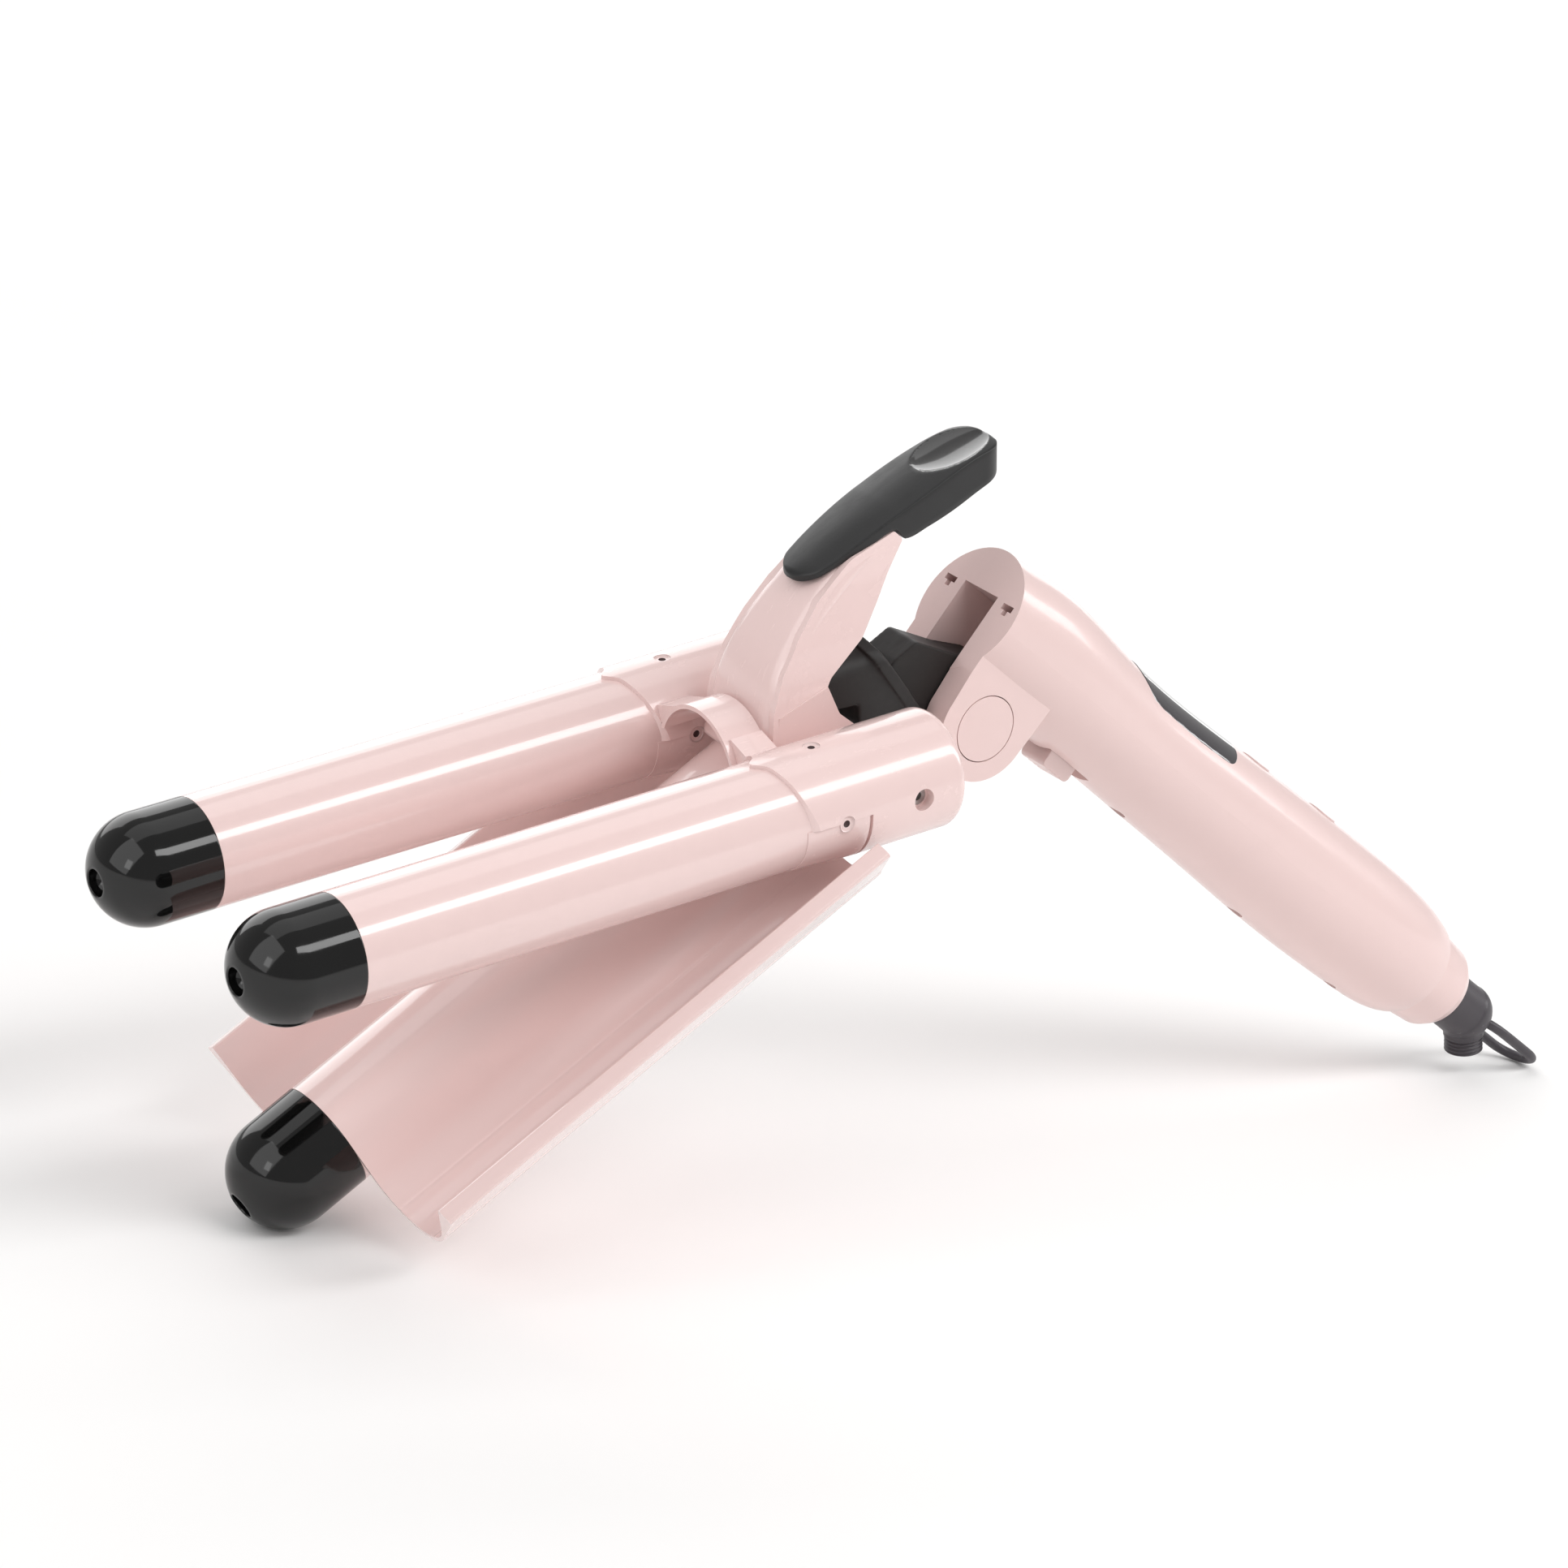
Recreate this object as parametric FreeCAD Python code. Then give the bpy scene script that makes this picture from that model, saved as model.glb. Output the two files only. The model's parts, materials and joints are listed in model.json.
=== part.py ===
import FreeCAD, Part
import math
import os

from FreeCAD import Vector

# Folding three-barrel hair waver.  Millimetres.
# Drawing frame: X runs back along the fixed barrels, Z is up, the origin is midway
# between the domed ends of the two fixed barrels.  stand() sets the finished
# assembly down on a table, with Z up and the origin under its middle.

# ---- driving dimensions -------------------------------------------------------
BARREL_R = 12.5                 # outside radius of every barrel and tip cap
BARREL_PITCH = 28.0             # middle barrel axis to each outer barrel axis
BARREL_WALL = 0.8
BARREL_START = 12.1             # back rim of a tip cap, where the barrel begins
BARREL_END = 146.0
JAW_BARREL_END = 138.0
TIP_HOLE_R = 3.0
TIP_SCREW_R = 1.25
TIP_SCREW_HEAD_R = 2.4
TIP_SCREW_SEAT = -4.5

HEATER_START = 24.0
HEATER_END = 104.0
HEATER_HALF_T = 1.4
SPREADER_OVERHANG = 2.0         # the spreader outruns the heating slab at each end
THERMISTOR_R = 1.6
SENSOR_LEVEL = 0.55             # share of the inner radius at which slab edges and sensor sit

JAW_PIN_X = 152.0               # jaw pivot, level with the barrel axes
JAW_OPEN = 25.0                 # how far the jaw stands open at rest, degrees
JAW_PIN_R = 2.0
PIN_RECESS_R = 2.5
RUNNING = 0.05                  # radial clearance of a turning fit

PLATE_T = 1.0                   # wave plate sheet
TROUGH_R = 13.8
PLATE_END = 136.5
LIP_Y = 45.0
LIP_Z = 2.4
HEM_WIDTH = 4.2

SLEEVE_R = 13.4
SLEEVE_END = 164.0
SLEEVE_TOP_START = 115.9        # front edge of a sleeve along the top of its barrel
SLEEVE_SWEEP = 10.4             # how far that edge runs back towards the sides
SLEEVE_LOWER_START = 138.5
SLEEVE_STEP_Z = 0.4             # where a sleeve's upper half meets its tapered lower skirt
SKIRT_START = 122.0
SLIT = 0.9                      # open slit behind the skirt
SCREW_X = 131.8
SLEEVE_SCREW_R = 1.9

ARCH_INNER_R = 13.4
ARCH_OUTER_R = 14.4
ARCH_START = 121.5
ARCH_END = 131.2

FOLD_X = 190.0                  # handle fold pivot
FOLD_Z = -4.5
FOLD_DOWN = 44.0                # handle fold at rest, degrees below straight
FOLD_PIN_R = 2.5
TONGUE_HALF = 5.5
POCKET_HALF = 5.9
POCKET_R = 19.6
CHEEK_R = 12.4
CHEEK_Y = 12.5
COVER_R = 7.6
COVER_T = 1.3
COVER_GAP = 0.25
HOOK_SLOT_Y = 10.3
BOOT_HALF = 8.2
RIM_HALF = 9.0

LEVER_WALL = 1.3
EAR_R = 6.4                     # lever ears that carry the bushes
EAR_INNER = 9.3
EAR_OUTER = 12.5
BUSH_R = 3.0
BUSH_PROUD = 0.4
DISH_X = 188.0                  # thumb dish in the end of the pad
DISH_R = 20.0
DISH_MIDDLE_Z = 76.2

# the handle is drawn straight back from the fold pivot: d along it, n above it
HANDLE_FRONT = -13.0
HANDLE_SPLIT = 19.5
HANDLE_END = 170.0
HANDLE_WALL = 2.0
CAVITY_START = 24.0
# station d, lowest n, highest n, half width
HANDLE_STATIONS = (
    (-13.0, 5.0, 35.2, 14.7),
    (0.0, 5.0, 36.2, 14.9),
    (14.0, 5.2, 36.1, 14.8),
    (30.0, 5.6, 34.4, 14.2),
    (46.0, 5.3, 33.4, 13.6),
    (85.0, 4.5, 34.0, 13.8),
    (130.0, 3.7, 34.9, 14.0),
    (150.0, 4.3, 34.8, 13.7),
    (162.0, 5.1, 33.9, 12.8),
    (170.0, 7.4, 32.3, 11.4),
)
AXIS_N = 19.7                   # middle of the cord end

WINDOW_START = 40.0
WINDOW_END = 74.0
WINDOW_HALF = 8.2
WINDOW_T = 1.2
POWER_D = 88.5
MODE_D = 116.0
BUTTON_LONG = 4.2
BUTTON_WIDE = 3.0
BUTTON_GAP = 0.25
BUTTON_PROUD = 0.35
BOARD_LOW = 22.0
BOARD_TOP = 23.4

HANDLE_SCREW_SPOTS = (60.0, 110.0, 150.0)
HANDLE_SCREW_R = 1.25
HANDLE_SCREW_HEAD_R = 2.4
HANDLE_SCREW_HOLE_R = 1.3
HANDLE_SCREW_WELL_R = 2.6
HANDLE_SCREW_SEAT = 8.5
HANDLE_POST_R = 3.4

SLIDER_D = 28.5
SLIDER_LENGTH = 9.5
SLIDER_HALF = 4.2
SLIDER_TRAVEL = 4.0
SLIDER_RIB_PITCH = 1.85
SLIDER_COIL_R = 1.6
SLIDER_COIL_WIRE_R = 0.3
SLIDER_COIL_PITCH = 0.75
SLIDER_COIL_COUNT = 7

COLLAR_END = 183.5
COLLAR_R = 11.2
NECK_R = 6.8
SWIVEL_MID = 195.5
FLANGE_R = 8.8                  # turns inside the end collar
FLANGE_T = 2.3
FLANGE_END = 177.3
STUB_R = 4.4
STUB_TURN = 44.0                # angle of the cord outlet from the handle axis
STUB_REACH = 10.0
SOCKET_REACH = 6.4              # length of the socket that holds the ribbed outlet
COLLAR_RIBS = 4
COLLAR_RIB_PITCH = 1.1
CORD_BORE_R = 3.3
WIRE_WAY_R = 2.6
LOOP_WIRE_R = 1.15
LOOP_HALF = 5.6
LOOP_TIP = 222.6
LOOP_ROLL = -11.0

SIDES = (("near", -1.0), ("far", 1.0))


# ---- small helpers --------------------------------------------------------------
def cylinder_x(radius, x0, x1, y=0.0, z=0.0):
    return Part.makeCylinder(radius, x1 - x0, Vector(x0, y, z), Vector(1, 0, 0))


def cylinder_y(radius, y0, y1, x, z):
    return Part.makeCylinder(radius, y1 - y0, Vector(x, y0, z), Vector(0, 1, 0))


def cylinder_z(radius, z0, z1, x, y):
    return Part.makeCylinder(radius, z1 - z0, Vector(x, y, z0), Vector(0, 0, 1))


def block(x0, x1, y0, y1, z0, z1):
    return Part.makeBox(x1 - x0, y1 - y0, z1 - z0, Vector(x0, y0, z0))


def tube_x(outer, inner, x0, x1, y=0.0, z=0.0):
    return cylinder_x(outer, x0, x1, y, z).cut(cylinder_x(inner, x0 - 1, x1 + 1, y, z))


def side_point(u, v, across):
    return Vector(u, across, v)


def front_point(u, v, along):
    return Vector(along, u, v)


def plan_point(u, v, up):
    return Vector(u, v, up)


def rounded_face(corners, plane, level):
    """Flat face from (u, v, corner radius) triples; plane maps u, v, level to space."""
    edges = []
    arcs = []
    count = len(corners)
    for i in range(count):
        before = Vector(corners[i - 1][0], corners[i - 1][1], 0)
        here = Vector(corners[i][0], corners[i][1], 0)
        after = Vector(corners[(i + 1) % count][0], corners[(i + 1) % count][1], 0)
        radius = corners[i][2]
        if radius <= 0:
            arcs.append((here, here, here))
            continue
        one = (before - here).normalize()
        two = (after - here).normalize()
        half = one.getAngle(two) / 2
        middle = (one + two).normalize()
        centre = here + middle * (radius / math.sin(half))
        reach = radius / math.tan(half)
        arcs.append((here + one * reach, centre - middle * radius, here + two * reach))

    def lift(p):
        return plane(p.x, p.y, level)

    for i in range(count):
        start, mid, end = arcs[i]
        if start.distanceToPoint(end) > 1e-6:
            edges.append(Part.Arc(lift(start), lift(mid), lift(end)).toShape())
        nxt = arcs[(i + 1) % count][0]
        if end.distanceToPoint(nxt) > 1e-6:
            edges.append(Part.LineSegment(lift(end), lift(nxt)).toShape())
    return Part.Face(Part.Wire(edges))


def side_prism(corners, y0, y1):
    return rounded_face(corners, side_point, y0).extrude(Vector(0, y1 - y0, 0))


def front_prism(corners, x0, x1):
    return rounded_face(corners, front_point, x0).extrude(Vector(x1 - x0, 0, 0))


def plan_prism(corners, z0, z1):
    return rounded_face(corners, plan_point, z0).extrude(Vector(0, 0, z1 - z0))


def revolve_x(profile, y=0.0, z=0.0):
    """Turn an (x, radius) outline about the line along X through y, z."""
    points = [Vector(x, y, z + r) for x, r in profile]
    face = Part.Face(Part.makePolygon(points + [points[0]]))
    return face.revolve(Vector(0, y, z), Vector(1, 0, 0), 360)


def fused(shapes):
    return shapes[0].multiFuse(shapes[1:]).removeSplitter() if len(shapes) > 1 else shapes[0]


def open_jaw(shape, angle=JAW_OPEN):
    turned = shape.copy()
    turned.rotate(Vector(JAW_PIN_X, 0, 0), Vector(0, 1, 0), -angle)
    return turned


def fold_handle(shape, angle=FOLD_DOWN):
    """Carry a shape drawn in the handle's own d, y, n to the folded handle."""
    turned = shape.copy()
    turned.rotate(Vector(0, 0, 0), Vector(0, 1, 0), angle)
    turned.translate(Vector(FOLD_X, 0, FOLD_Z))
    return turned


# ---- barrels and heaters ----------------------------------------------------------
def tip_cap(y=0.0):
    """Heat-proof cap: dome, short skirt, and a spigot plugged into the barrel."""
    dome = Part.makeSphere(BARREL_R, Vector(0, y, 0))
    skirt = cylinder_x(BARREL_R, 0, BARREL_START, y)
    spigot = cylinder_x(BARREL_R - BARREL_WALL - 1.1, BARREL_START - 1, BARREL_START + 7, y)
    hollow = cylinder_x(BARREL_R - 3.4, 2, BARREL_START + 8, y)
    body = fused([dome.common(cylinder_x(BARREL_R, -BARREL_R, 1, y)), skirt, spigot])
    body = body.cut(hollow)
    recess = cylinder_x(TIP_HOLE_R, -BARREL_R - 1, TIP_SCREW_SEAT, y)
    screw_way = cylinder_x(1.3, -6, 4, y)
    return body.cut(recess).cut(screw_way)


def tip_screw(y=0.0):
    """Cross-head screw that holds a cap in its barrel."""
    head = cylinder_x(TIP_SCREW_HEAD_R, -6.2, TIP_SCREW_SEAT, y)
    shank = cylinder_x(TIP_SCREW_R, TIP_SCREW_SEAT - 0.1, 11, y)
    slot = block(-6.3, -5.6, y - 1.7, y + 1.7, -0.3, 0.3)
    cross = block(-6.3, -5.6, y - 0.3, y + 0.3, -1.7, 1.7)
    return head.fuse(shank).cut(slot).cut(cross)


def barrel(y):
    return tube_x(BARREL_R, BARREL_R - BARREL_WALL, BARREL_START, BARREL_END, y)


def jaw_barrel():
    inner = BARREL_R - PLATE_T - BARREL_WALL
    outer = tube_x(BARREL_R, inner, BARREL_START, JAW_BARREL_END)
    return outer.cut(wave_sheet(BARREL_START - 5, JAW_BARREL_END + 5))


def heater(y, inner_r):
    """Ceramic heating slab held in the middle of a barrel."""
    half = inner_r * SENSOR_LEVEL
    return block(HEATER_START, HEATER_END, y - half, y + half, -HEATER_HALF_T, HEATER_HALF_T)


def heat_spreader(y, inner_r):
    """Two aluminium half rounds that press the slab against the barrel."""
    start = HEATER_START - SPREADER_OVERHANG
    end = HEATER_END + SPREADER_OVERHANG
    gap = HEATER_HALF_T + RUNNING
    rod = cylinder_x(inner_r - 0.1, start, end, y)
    slot = block(start - 2, end + 2, y - inner_r, y + inner_r, -gap, gap)
    way = cylinder_x(THERMISTOR_R + 0.3, start - 2, end + 2, y, inner_r * SENSOR_LEVEL)
    return rod.cut(slot).cut(way)


def thermistor(y, inner_r):
    """Glass-sleeved temperature sensor in the upper half of the heat spreader."""
    return cylinder_x(THERMISTOR_R, 40, 100, y, inner_r * SENSOR_LEVEL)


# ---- wave plate --------------------------------------------------------------------
def wave_geometry():
    """Tangent direction where the sheet leaves the hump for a trough."""
    across = (BARREL_R + TROUGH_R) / BARREL_PITCH
    return across, math.sqrt(1 - across * across)


def lip_angle():
    """Angle at which the sheet leaves the outer trough for the lip."""
    reach = math.hypot(LIP_Y - BARREL_PITCH, LIP_Z)
    return math.atan2(LIP_Z, LIP_Y - BARREL_PITCH) - math.acos(TROUGH_R / reach)


def sheet_edges(offset, side, x):
    """Edges of one half of the sheet's top face, moved down by offset."""
    ny, nz = wave_geometry()
    hump_r = BARREL_R - offset
    trough_r = TROUGH_R + offset

    def at(y, z):
        return Vector(x, side * y, z)

    theta = math.atan2(nz, ny)
    top = at(0, hump_r)
    mid_hump = (math.pi / 2 + theta) / 2
    shoulder = at(hump_r * ny, hump_r * nz)
    foot = at(BARREL_PITCH - trough_r * ny, -trough_r * nz)
    leave = lip_angle()
    low = at(BARREL_PITCH, -trough_r)
    rise = at(BARREL_PITCH + trough_r * math.cos(leave), trough_r * math.sin(leave))
    out_y = math.cos(leave) * offset
    out_z = math.sin(leave) * offset
    lip = at(LIP_Y + out_y, LIP_Z + out_z)
    return [
        Part.Arc(top, at(hump_r * math.cos(mid_hump), hump_r * math.sin(mid_hump)), shoulder).toShape(),
        Part.LineSegment(shoulder, foot).toShape(),
        Part.Arc(foot, low, rise).toShape(),
        Part.LineSegment(rise, lip).toShape(),
    ], lip


def wave_sheet(x0, x1):
    """The sheet itself: a hump under the middle barrel between two troughs."""
    halves = []
    for side in (-1.0, 1.0):
        upper, upper_lip = sheet_edges(0.0, side, x0)
        lower, lower_lip = sheet_edges(PLATE_T, side, x0)
        middle = Part.LineSegment(Vector(x0, 0, BARREL_R), Vector(x0, 0, BARREL_R - PLATE_T)).toShape()
        closing = Part.LineSegment(upper_lip, lower_lip).toShape()
        wire = Part.Wire(Part.sortEdges(upper + [closing] + lower + [middle])[0])
        halves.append(Part.Face(wire).extrude(Vector(x1 - x0, 0, 0)))
    return fused(halves)


def hem(side, x0, x1):
    """Folded edge that stiffens the plate's long side."""
    leave = lip_angle()
    out_y = math.cos(leave)
    out_z = math.sin(leave)
    inner = (LIP_Y, LIP_Z)
    outer = (LIP_Y + HEM_WIDTH * out_y, LIP_Z + HEM_WIDTH * out_z)
    down = math.radians(-37)
    foot_r = TROUGH_R + PLATE_T * 0.6
    foot = (BARREL_PITCH + foot_r * math.cos(down), foot_r * math.sin(down))
    skin = [(inner, 0.5), (outer, 1.5), (foot, 0.0)]
    corners = [(side * p[0], p[1], r) for p, r in skin]
    solid = front_prism(corners, x0, x1)
    cx = (inner[0] + outer[0] + foot[0]) / 3
    cz = (inner[1] + outer[1] + foot[1]) / 3
    shrink = 0.42
    core = [(side * (cx + (p[0] - cx) * shrink), cz + (p[1] - cz) * shrink, r * 0.3) for p, r in skin]
    return solid.cut(front_prism(core, x0 - 1, x1 + 1))


def wave_plate():
    hems = [hem(side, BARREL_START, PLATE_END) for side in (-1.0, 1.0)]
    return fused([wave_sheet(BARREL_START, PLATE_END)] + hems)


# ---- head housing ---------------------------------------------------------------------
def sleeve_front_cutter(y):
    """Solid in front of a sleeve's upper half; its back face carries the swept edge."""
    steps = 8
    points = []
    for i in range(-steps, steps + 1):
        turn = abs(i) / steps * math.pi / 2
        sweep = math.acos(1 - 2 * abs(i) / steps) / math.pi
        x = SLEEVE_TOP_START + SLEEVE_SWEEP * sweep
        points.append(Vector(x, y + math.copysign(SLEEVE_R * math.sin(turn), i), 0))
    curve = Part.BSplineCurve()
    curve.interpolate(points)
    first = points[0]
    last = points[-1]
    lead = [
        last,
        Vector(last.x, last.y + 4, 0),
        Vector(100, last.y + 4, 0),
        Vector(100, first.y - 4, 0),
        Vector(first.x, first.y - 4, 0),
        first,
    ]
    edges = [curve.toShape()]
    edges += [Part.LineSegment(lead[i], lead[i + 1]).toShape() for i in range(5)]
    face = Part.Face(Part.Wire(edges))
    return face.extrude(Vector(0, 0, 20))


def sleeve(side):
    y = side * BARREL_PITCH
    outer = cylinder_x(SLEEVE_R, SLEEVE_TOP_START - 2, SLEEVE_END, y)
    rim = [e for e in outer.Edges if abs(e.CenterOfMass.x - SLEEVE_END) < 1e-3 and e.Length > 50]
    outer = outer.makeFillet(2.6, rim)
    shell = outer.cut(cylinder_x(BARREL_R, SLEEVE_TOP_START - 3, SLEEVE_END - 2.2, y))
    shell = shell.cut(sleeve_front_cutter(y))
    below = block(SLEEVE_TOP_START - 3, SLEEVE_LOWER_START, y - 20, y + 20, -20, SLEEVE_STEP_Z)
    skirt = revolve_x([(SKIRT_START, BARREL_R), (SKIRT_START, BARREL_R + 0.15),
                       (SLEEVE_LOWER_START - SLIT, SLEEVE_R), (SLEEVE_LOWER_START - SLIT, BARREL_R)], y, 0)
    skirt = skirt.common(block(SKIRT_START - 1, SLEEVE_LOWER_START, y - 20, y + 20, -20, SLEEVE_STEP_Z))
    return fused([shell.cut(below), skirt])


def pin_boss(side):
    """Round boss through a sleeve that carries one end of the jaw pin."""
    y = side * BARREL_PITCH
    boss = cylinder_y(5.2, y - 20, y + 20, JAW_PIN_X, 0)
    return boss.common(cylinder_x(BARREL_R + 0.3, 140, 160, y))


def arch():
    """Bridge over the middle barrel that joins the two sleeves."""
    ring = tube_x(ARCH_OUTER_R, ARCH_INNER_R, ARCH_START, ARCH_END)
    ring = ring.common(block(ARCH_START - 1, ARCH_END + 1, -14.0, 14.0, 5.0, 20))
    webs = []
    for side in (-1.0, 1.0):
        corners = [
            (side * 11.0, 5.0, 0),
            (side * 17.5, 5.0, 0),
            (side * 17.5, 8.3, 0),
            (side * 10.5, 10.6, 0),
        ]
        web = front_prism(corners, ARCH_START + 1.5, ARCH_END)
        web = web.cut(cylinder_x(ARCH_INNER_R, 100, 150))
        webs.append(web.cut(cylinder_x(BARREL_R + 0.2, 100, 150, side * BARREL_PITCH)))
    return [ring] + webs


def screw_spots(side):
    """Axis start and direction of a sleeve's three screws."""
    y = side * BARREL_PITCH
    return (
        (Vector(SCREW_X, y, SLEEVE_R), Vector(0, 0, -1)),
        (Vector(SCREW_X, y + side * SLEEVE_R, -0.1), Vector(0, -side, 0)),
        (Vector(SCREW_X, y - side * SLEEVE_R, -0.1), Vector(0, side, 0)),
    )


def head_housing():
    """The two sleeves, the arch and the cross web behind the jaw, in one moulding."""
    body = [sleeve(side) for _, side in SIDES] + [pin_boss(side) for _, side in SIDES] + arch()
    body.append(side_prism([(160.0, -12.5, 1), (164.0, -12.5, 1), (164.0, 1.0, 1), (160.0, 1.0, 1)], -17, 17))
    whole = fused(body)
    for _, side in SIDES:
        whole = whole.cut(cylinder_x(BARREL_R, SLEEVE_TOP_START - 3, BARREL_END + 0.2, side * BARREL_PITCH))
        whole = whole.cut(cylinder_x(BARREL_R - 1, 158, SLEEVE_END - 2.2, side * BARREL_PITCH))
        for start, way in screw_spots(side):
            whole = whole.cut(Part.makeCylinder(SLEEVE_SCREW_R, 8, start - way * 6, way))
        mouth = side * (BARREL_PITCH + SLEEVE_R)
        floor = mouth - side * 2.4
        whole = whole.cut(cylinder_y(PIN_RECESS_R, min(mouth, floor), max(mouth, floor), JAW_PIN_X, 0))
    return whole.cut(cylinder_y(JAW_PIN_R + 0.02, -60, 60, JAW_PIN_X, 0))


def sleeve_screws():
    """Small screws that hold the sleeves to the barrels."""
    screws = []
    for _, side in SIDES:
        for start, way in screw_spots(side):
            seat = start + way * (SLEEVE_R - BARREL_R)
            head = Part.makeCylinder(1.6, 0.7, seat - way * 0.7, way)
            slot_corner = seat - way * 0.8 - Vector(1.1, 0.25, 0.25)
            screws.append(head.cut(Part.makeBox(2.2, 0.5, 0.5, slot_corner)))
    cleared = []
    for screw in screws:
        for _, side in SIDES:
            screw = screw.cut(cylinder_x(BARREL_R, 100, 150, side * BARREL_PITCH))
        cleared.append(screw)
    return Part.makeCompound([s for c in cleared for s in c.Solids])


def jaw_pin():
    """Pivot pin of the jaw, drilled at both ends."""
    reach = BARREL_PITCH + SLEEVE_R - 2.6
    pin = cylinder_y(JAW_PIN_R, -reach, reach, JAW_PIN_X, 0)
    for side in (-1.0, 1.0):
        tip = side * reach
        pin = pin.cut(cylinder_y(1.0, min(tip, tip - side * 1.6), max(tip, tip - side * 1.6), JAW_PIN_X, 0))
    return pin


def jaw_spring():
    """Coil spring round the jaw pin that holds the jaw open."""
    turns = 7
    pitch = 1.35
    coil_r = 3.9
    wire_r = 0.5
    helix = Part.makeHelix(pitch, pitch * turns, coil_r)
    section = Part.Wire(Part.makeCircle(wire_r, Vector(coil_r, 0, 0), Vector(0, 1, 0)))
    coil = Part.Wire(helix.Edges).makePipeShell([section], True, True)
    solid = Part.Solid(coil) if coil.ShapeType != "Solid" else coil
    solid.rotate(Vector(0, 0, 0), Vector(1, 0, 0), -90)
    solid.translate(Vector(JAW_PIN_X, -pitch * turns / 2, 0))
    return solid


# ---- black hinge tongue and boot ------------------------------------------------------
def hinge_tongue():
    """Flat knuckle that the handle folds about."""
    corners = [
        (164.0, -12.0, 1.0),
        (164.0, 9.0, 0.0),
        (170.8, 14.6, 1.0),
        (176.6, 17.4, 1.2),
        (188.0, 11.2, 3.0),
        (197.6, 7.2, 4.0),
        (201.6, -8.0, 5.0),
        (190.0, -16.2, 7.0),
        (176.0, -13.5, 3.0),
    ]
    plate = side_prism(corners, -TONGUE_HALF, TONGUE_HALF)
    return plate.cut(cylinder_y(FOLD_PIN_R + 0.02, -20, 20, FOLD_X, FOLD_Z))


def hinge_boot():
    """Soft shroud between the sleeves, with a raised rim along its back edge."""
    nose_side = side_prism(
        [(147.3, 8.6, 1.5), (148.4, 15.4, 2), (159.6, 22.4, 1.5), (172.2, 4.0, 1.0), (171.0, -10.0, 1.0),
         (164.6, -10.0, 0.5), (164.6, 2.0, 0.5), (158.8, 2.0, 1.5), (158.8, 8.2, 0.5)],
        -BOOT_HALF, BOOT_HALF)
    nose_front = front_prism(
        [(-BOOT_HALF, -12, 0), (BOOT_HALF, -12, 0), (BOOT_HALF, 17.6, 4.5), (0, 22.8, 9),
         (-BOOT_HALF, 17.6, 4.5)],
        140, 180)
    rim_side = side_prism(
        [(158.6, 23.6, 1.2), (162.2, 23.3, 0.8), (175.0, 3.4, 1.0), (174.2, -10.6, 1.0), (171.2, -10.6, 1.0),
         (171.8, 3.6, 1.0)],
        -RIM_HALF, RIM_HALF)
    rim_front = front_prism(
        [(-RIM_HALF, -12, 0), (RIM_HALF, -12, 0), (RIM_HALF, 18.4, 5.0), (0, 24.2, 10),
         (-RIM_HALF, 18.4, 5.0)],
        140, 180)
    body = fused([nose_side.common(nose_front), rim_side.common(rim_front)])
    return body.cut(hinge_tongue_space())


def hinge_tongue_space():
    """Room for the tongue inside the boot."""
    return hinge_tongue().fuse(cylinder_y(FOLD_PIN_R + 1, -TONGUE_HALF, TONGUE_HALF, FOLD_X, FOLD_Z))


def fold_pin():
    """Pin through the tongue and both cheeks."""
    return cylinder_y(FOLD_PIN_R, -CHEEK_Y + 1.6, CHEEK_Y - 1.6, FOLD_X, FOLD_Z)


# ---- lever -------------------------------------------------------------------------------
def lever_profile(inset):
    """Lever outline from the side, standing open; inset thins it from the front."""
    return [
        (132.3 + inset, 4.0, 0),
        (133.4 + inset, 14.0, 6),
        (136.2 + inset, 21.5 - inset * 0.3, 12),
        (141.4 + inset * 0.7, 29.4 - inset * 0.8, 12),
        (147.2 + inset * 0.6, 36.0 - inset, 0),
        (156.3, 43.4 - inset, 10),
        (167.9, 47.1 - inset, 0.8),
        (170.1, 44.8 - inset * 0.6, 0.8),
        (162.5, 32.6, 3),
        (157.6, 25.4, 4),
        (147.2, 17.3, 2.5),
        (150.5, 10.0, 3),
        (156.0, 4.0, 0),
    ]


def lever_taper(inset):
    """Lever outline from the front: wide at the pivot, narrow under the thumb pad."""
    half = [(12.5, -6.0, 0), (12.5, 11.0, 8), (10.9, 26.0, 20), (8.9, 38.0, 20), (8.2, 60.0, 0)]
    right = [(y - inset, z, r) for y, z, r in half]
    left = [(-y, z, r) for y, z, r in reversed(right)]
    return right + left


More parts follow.
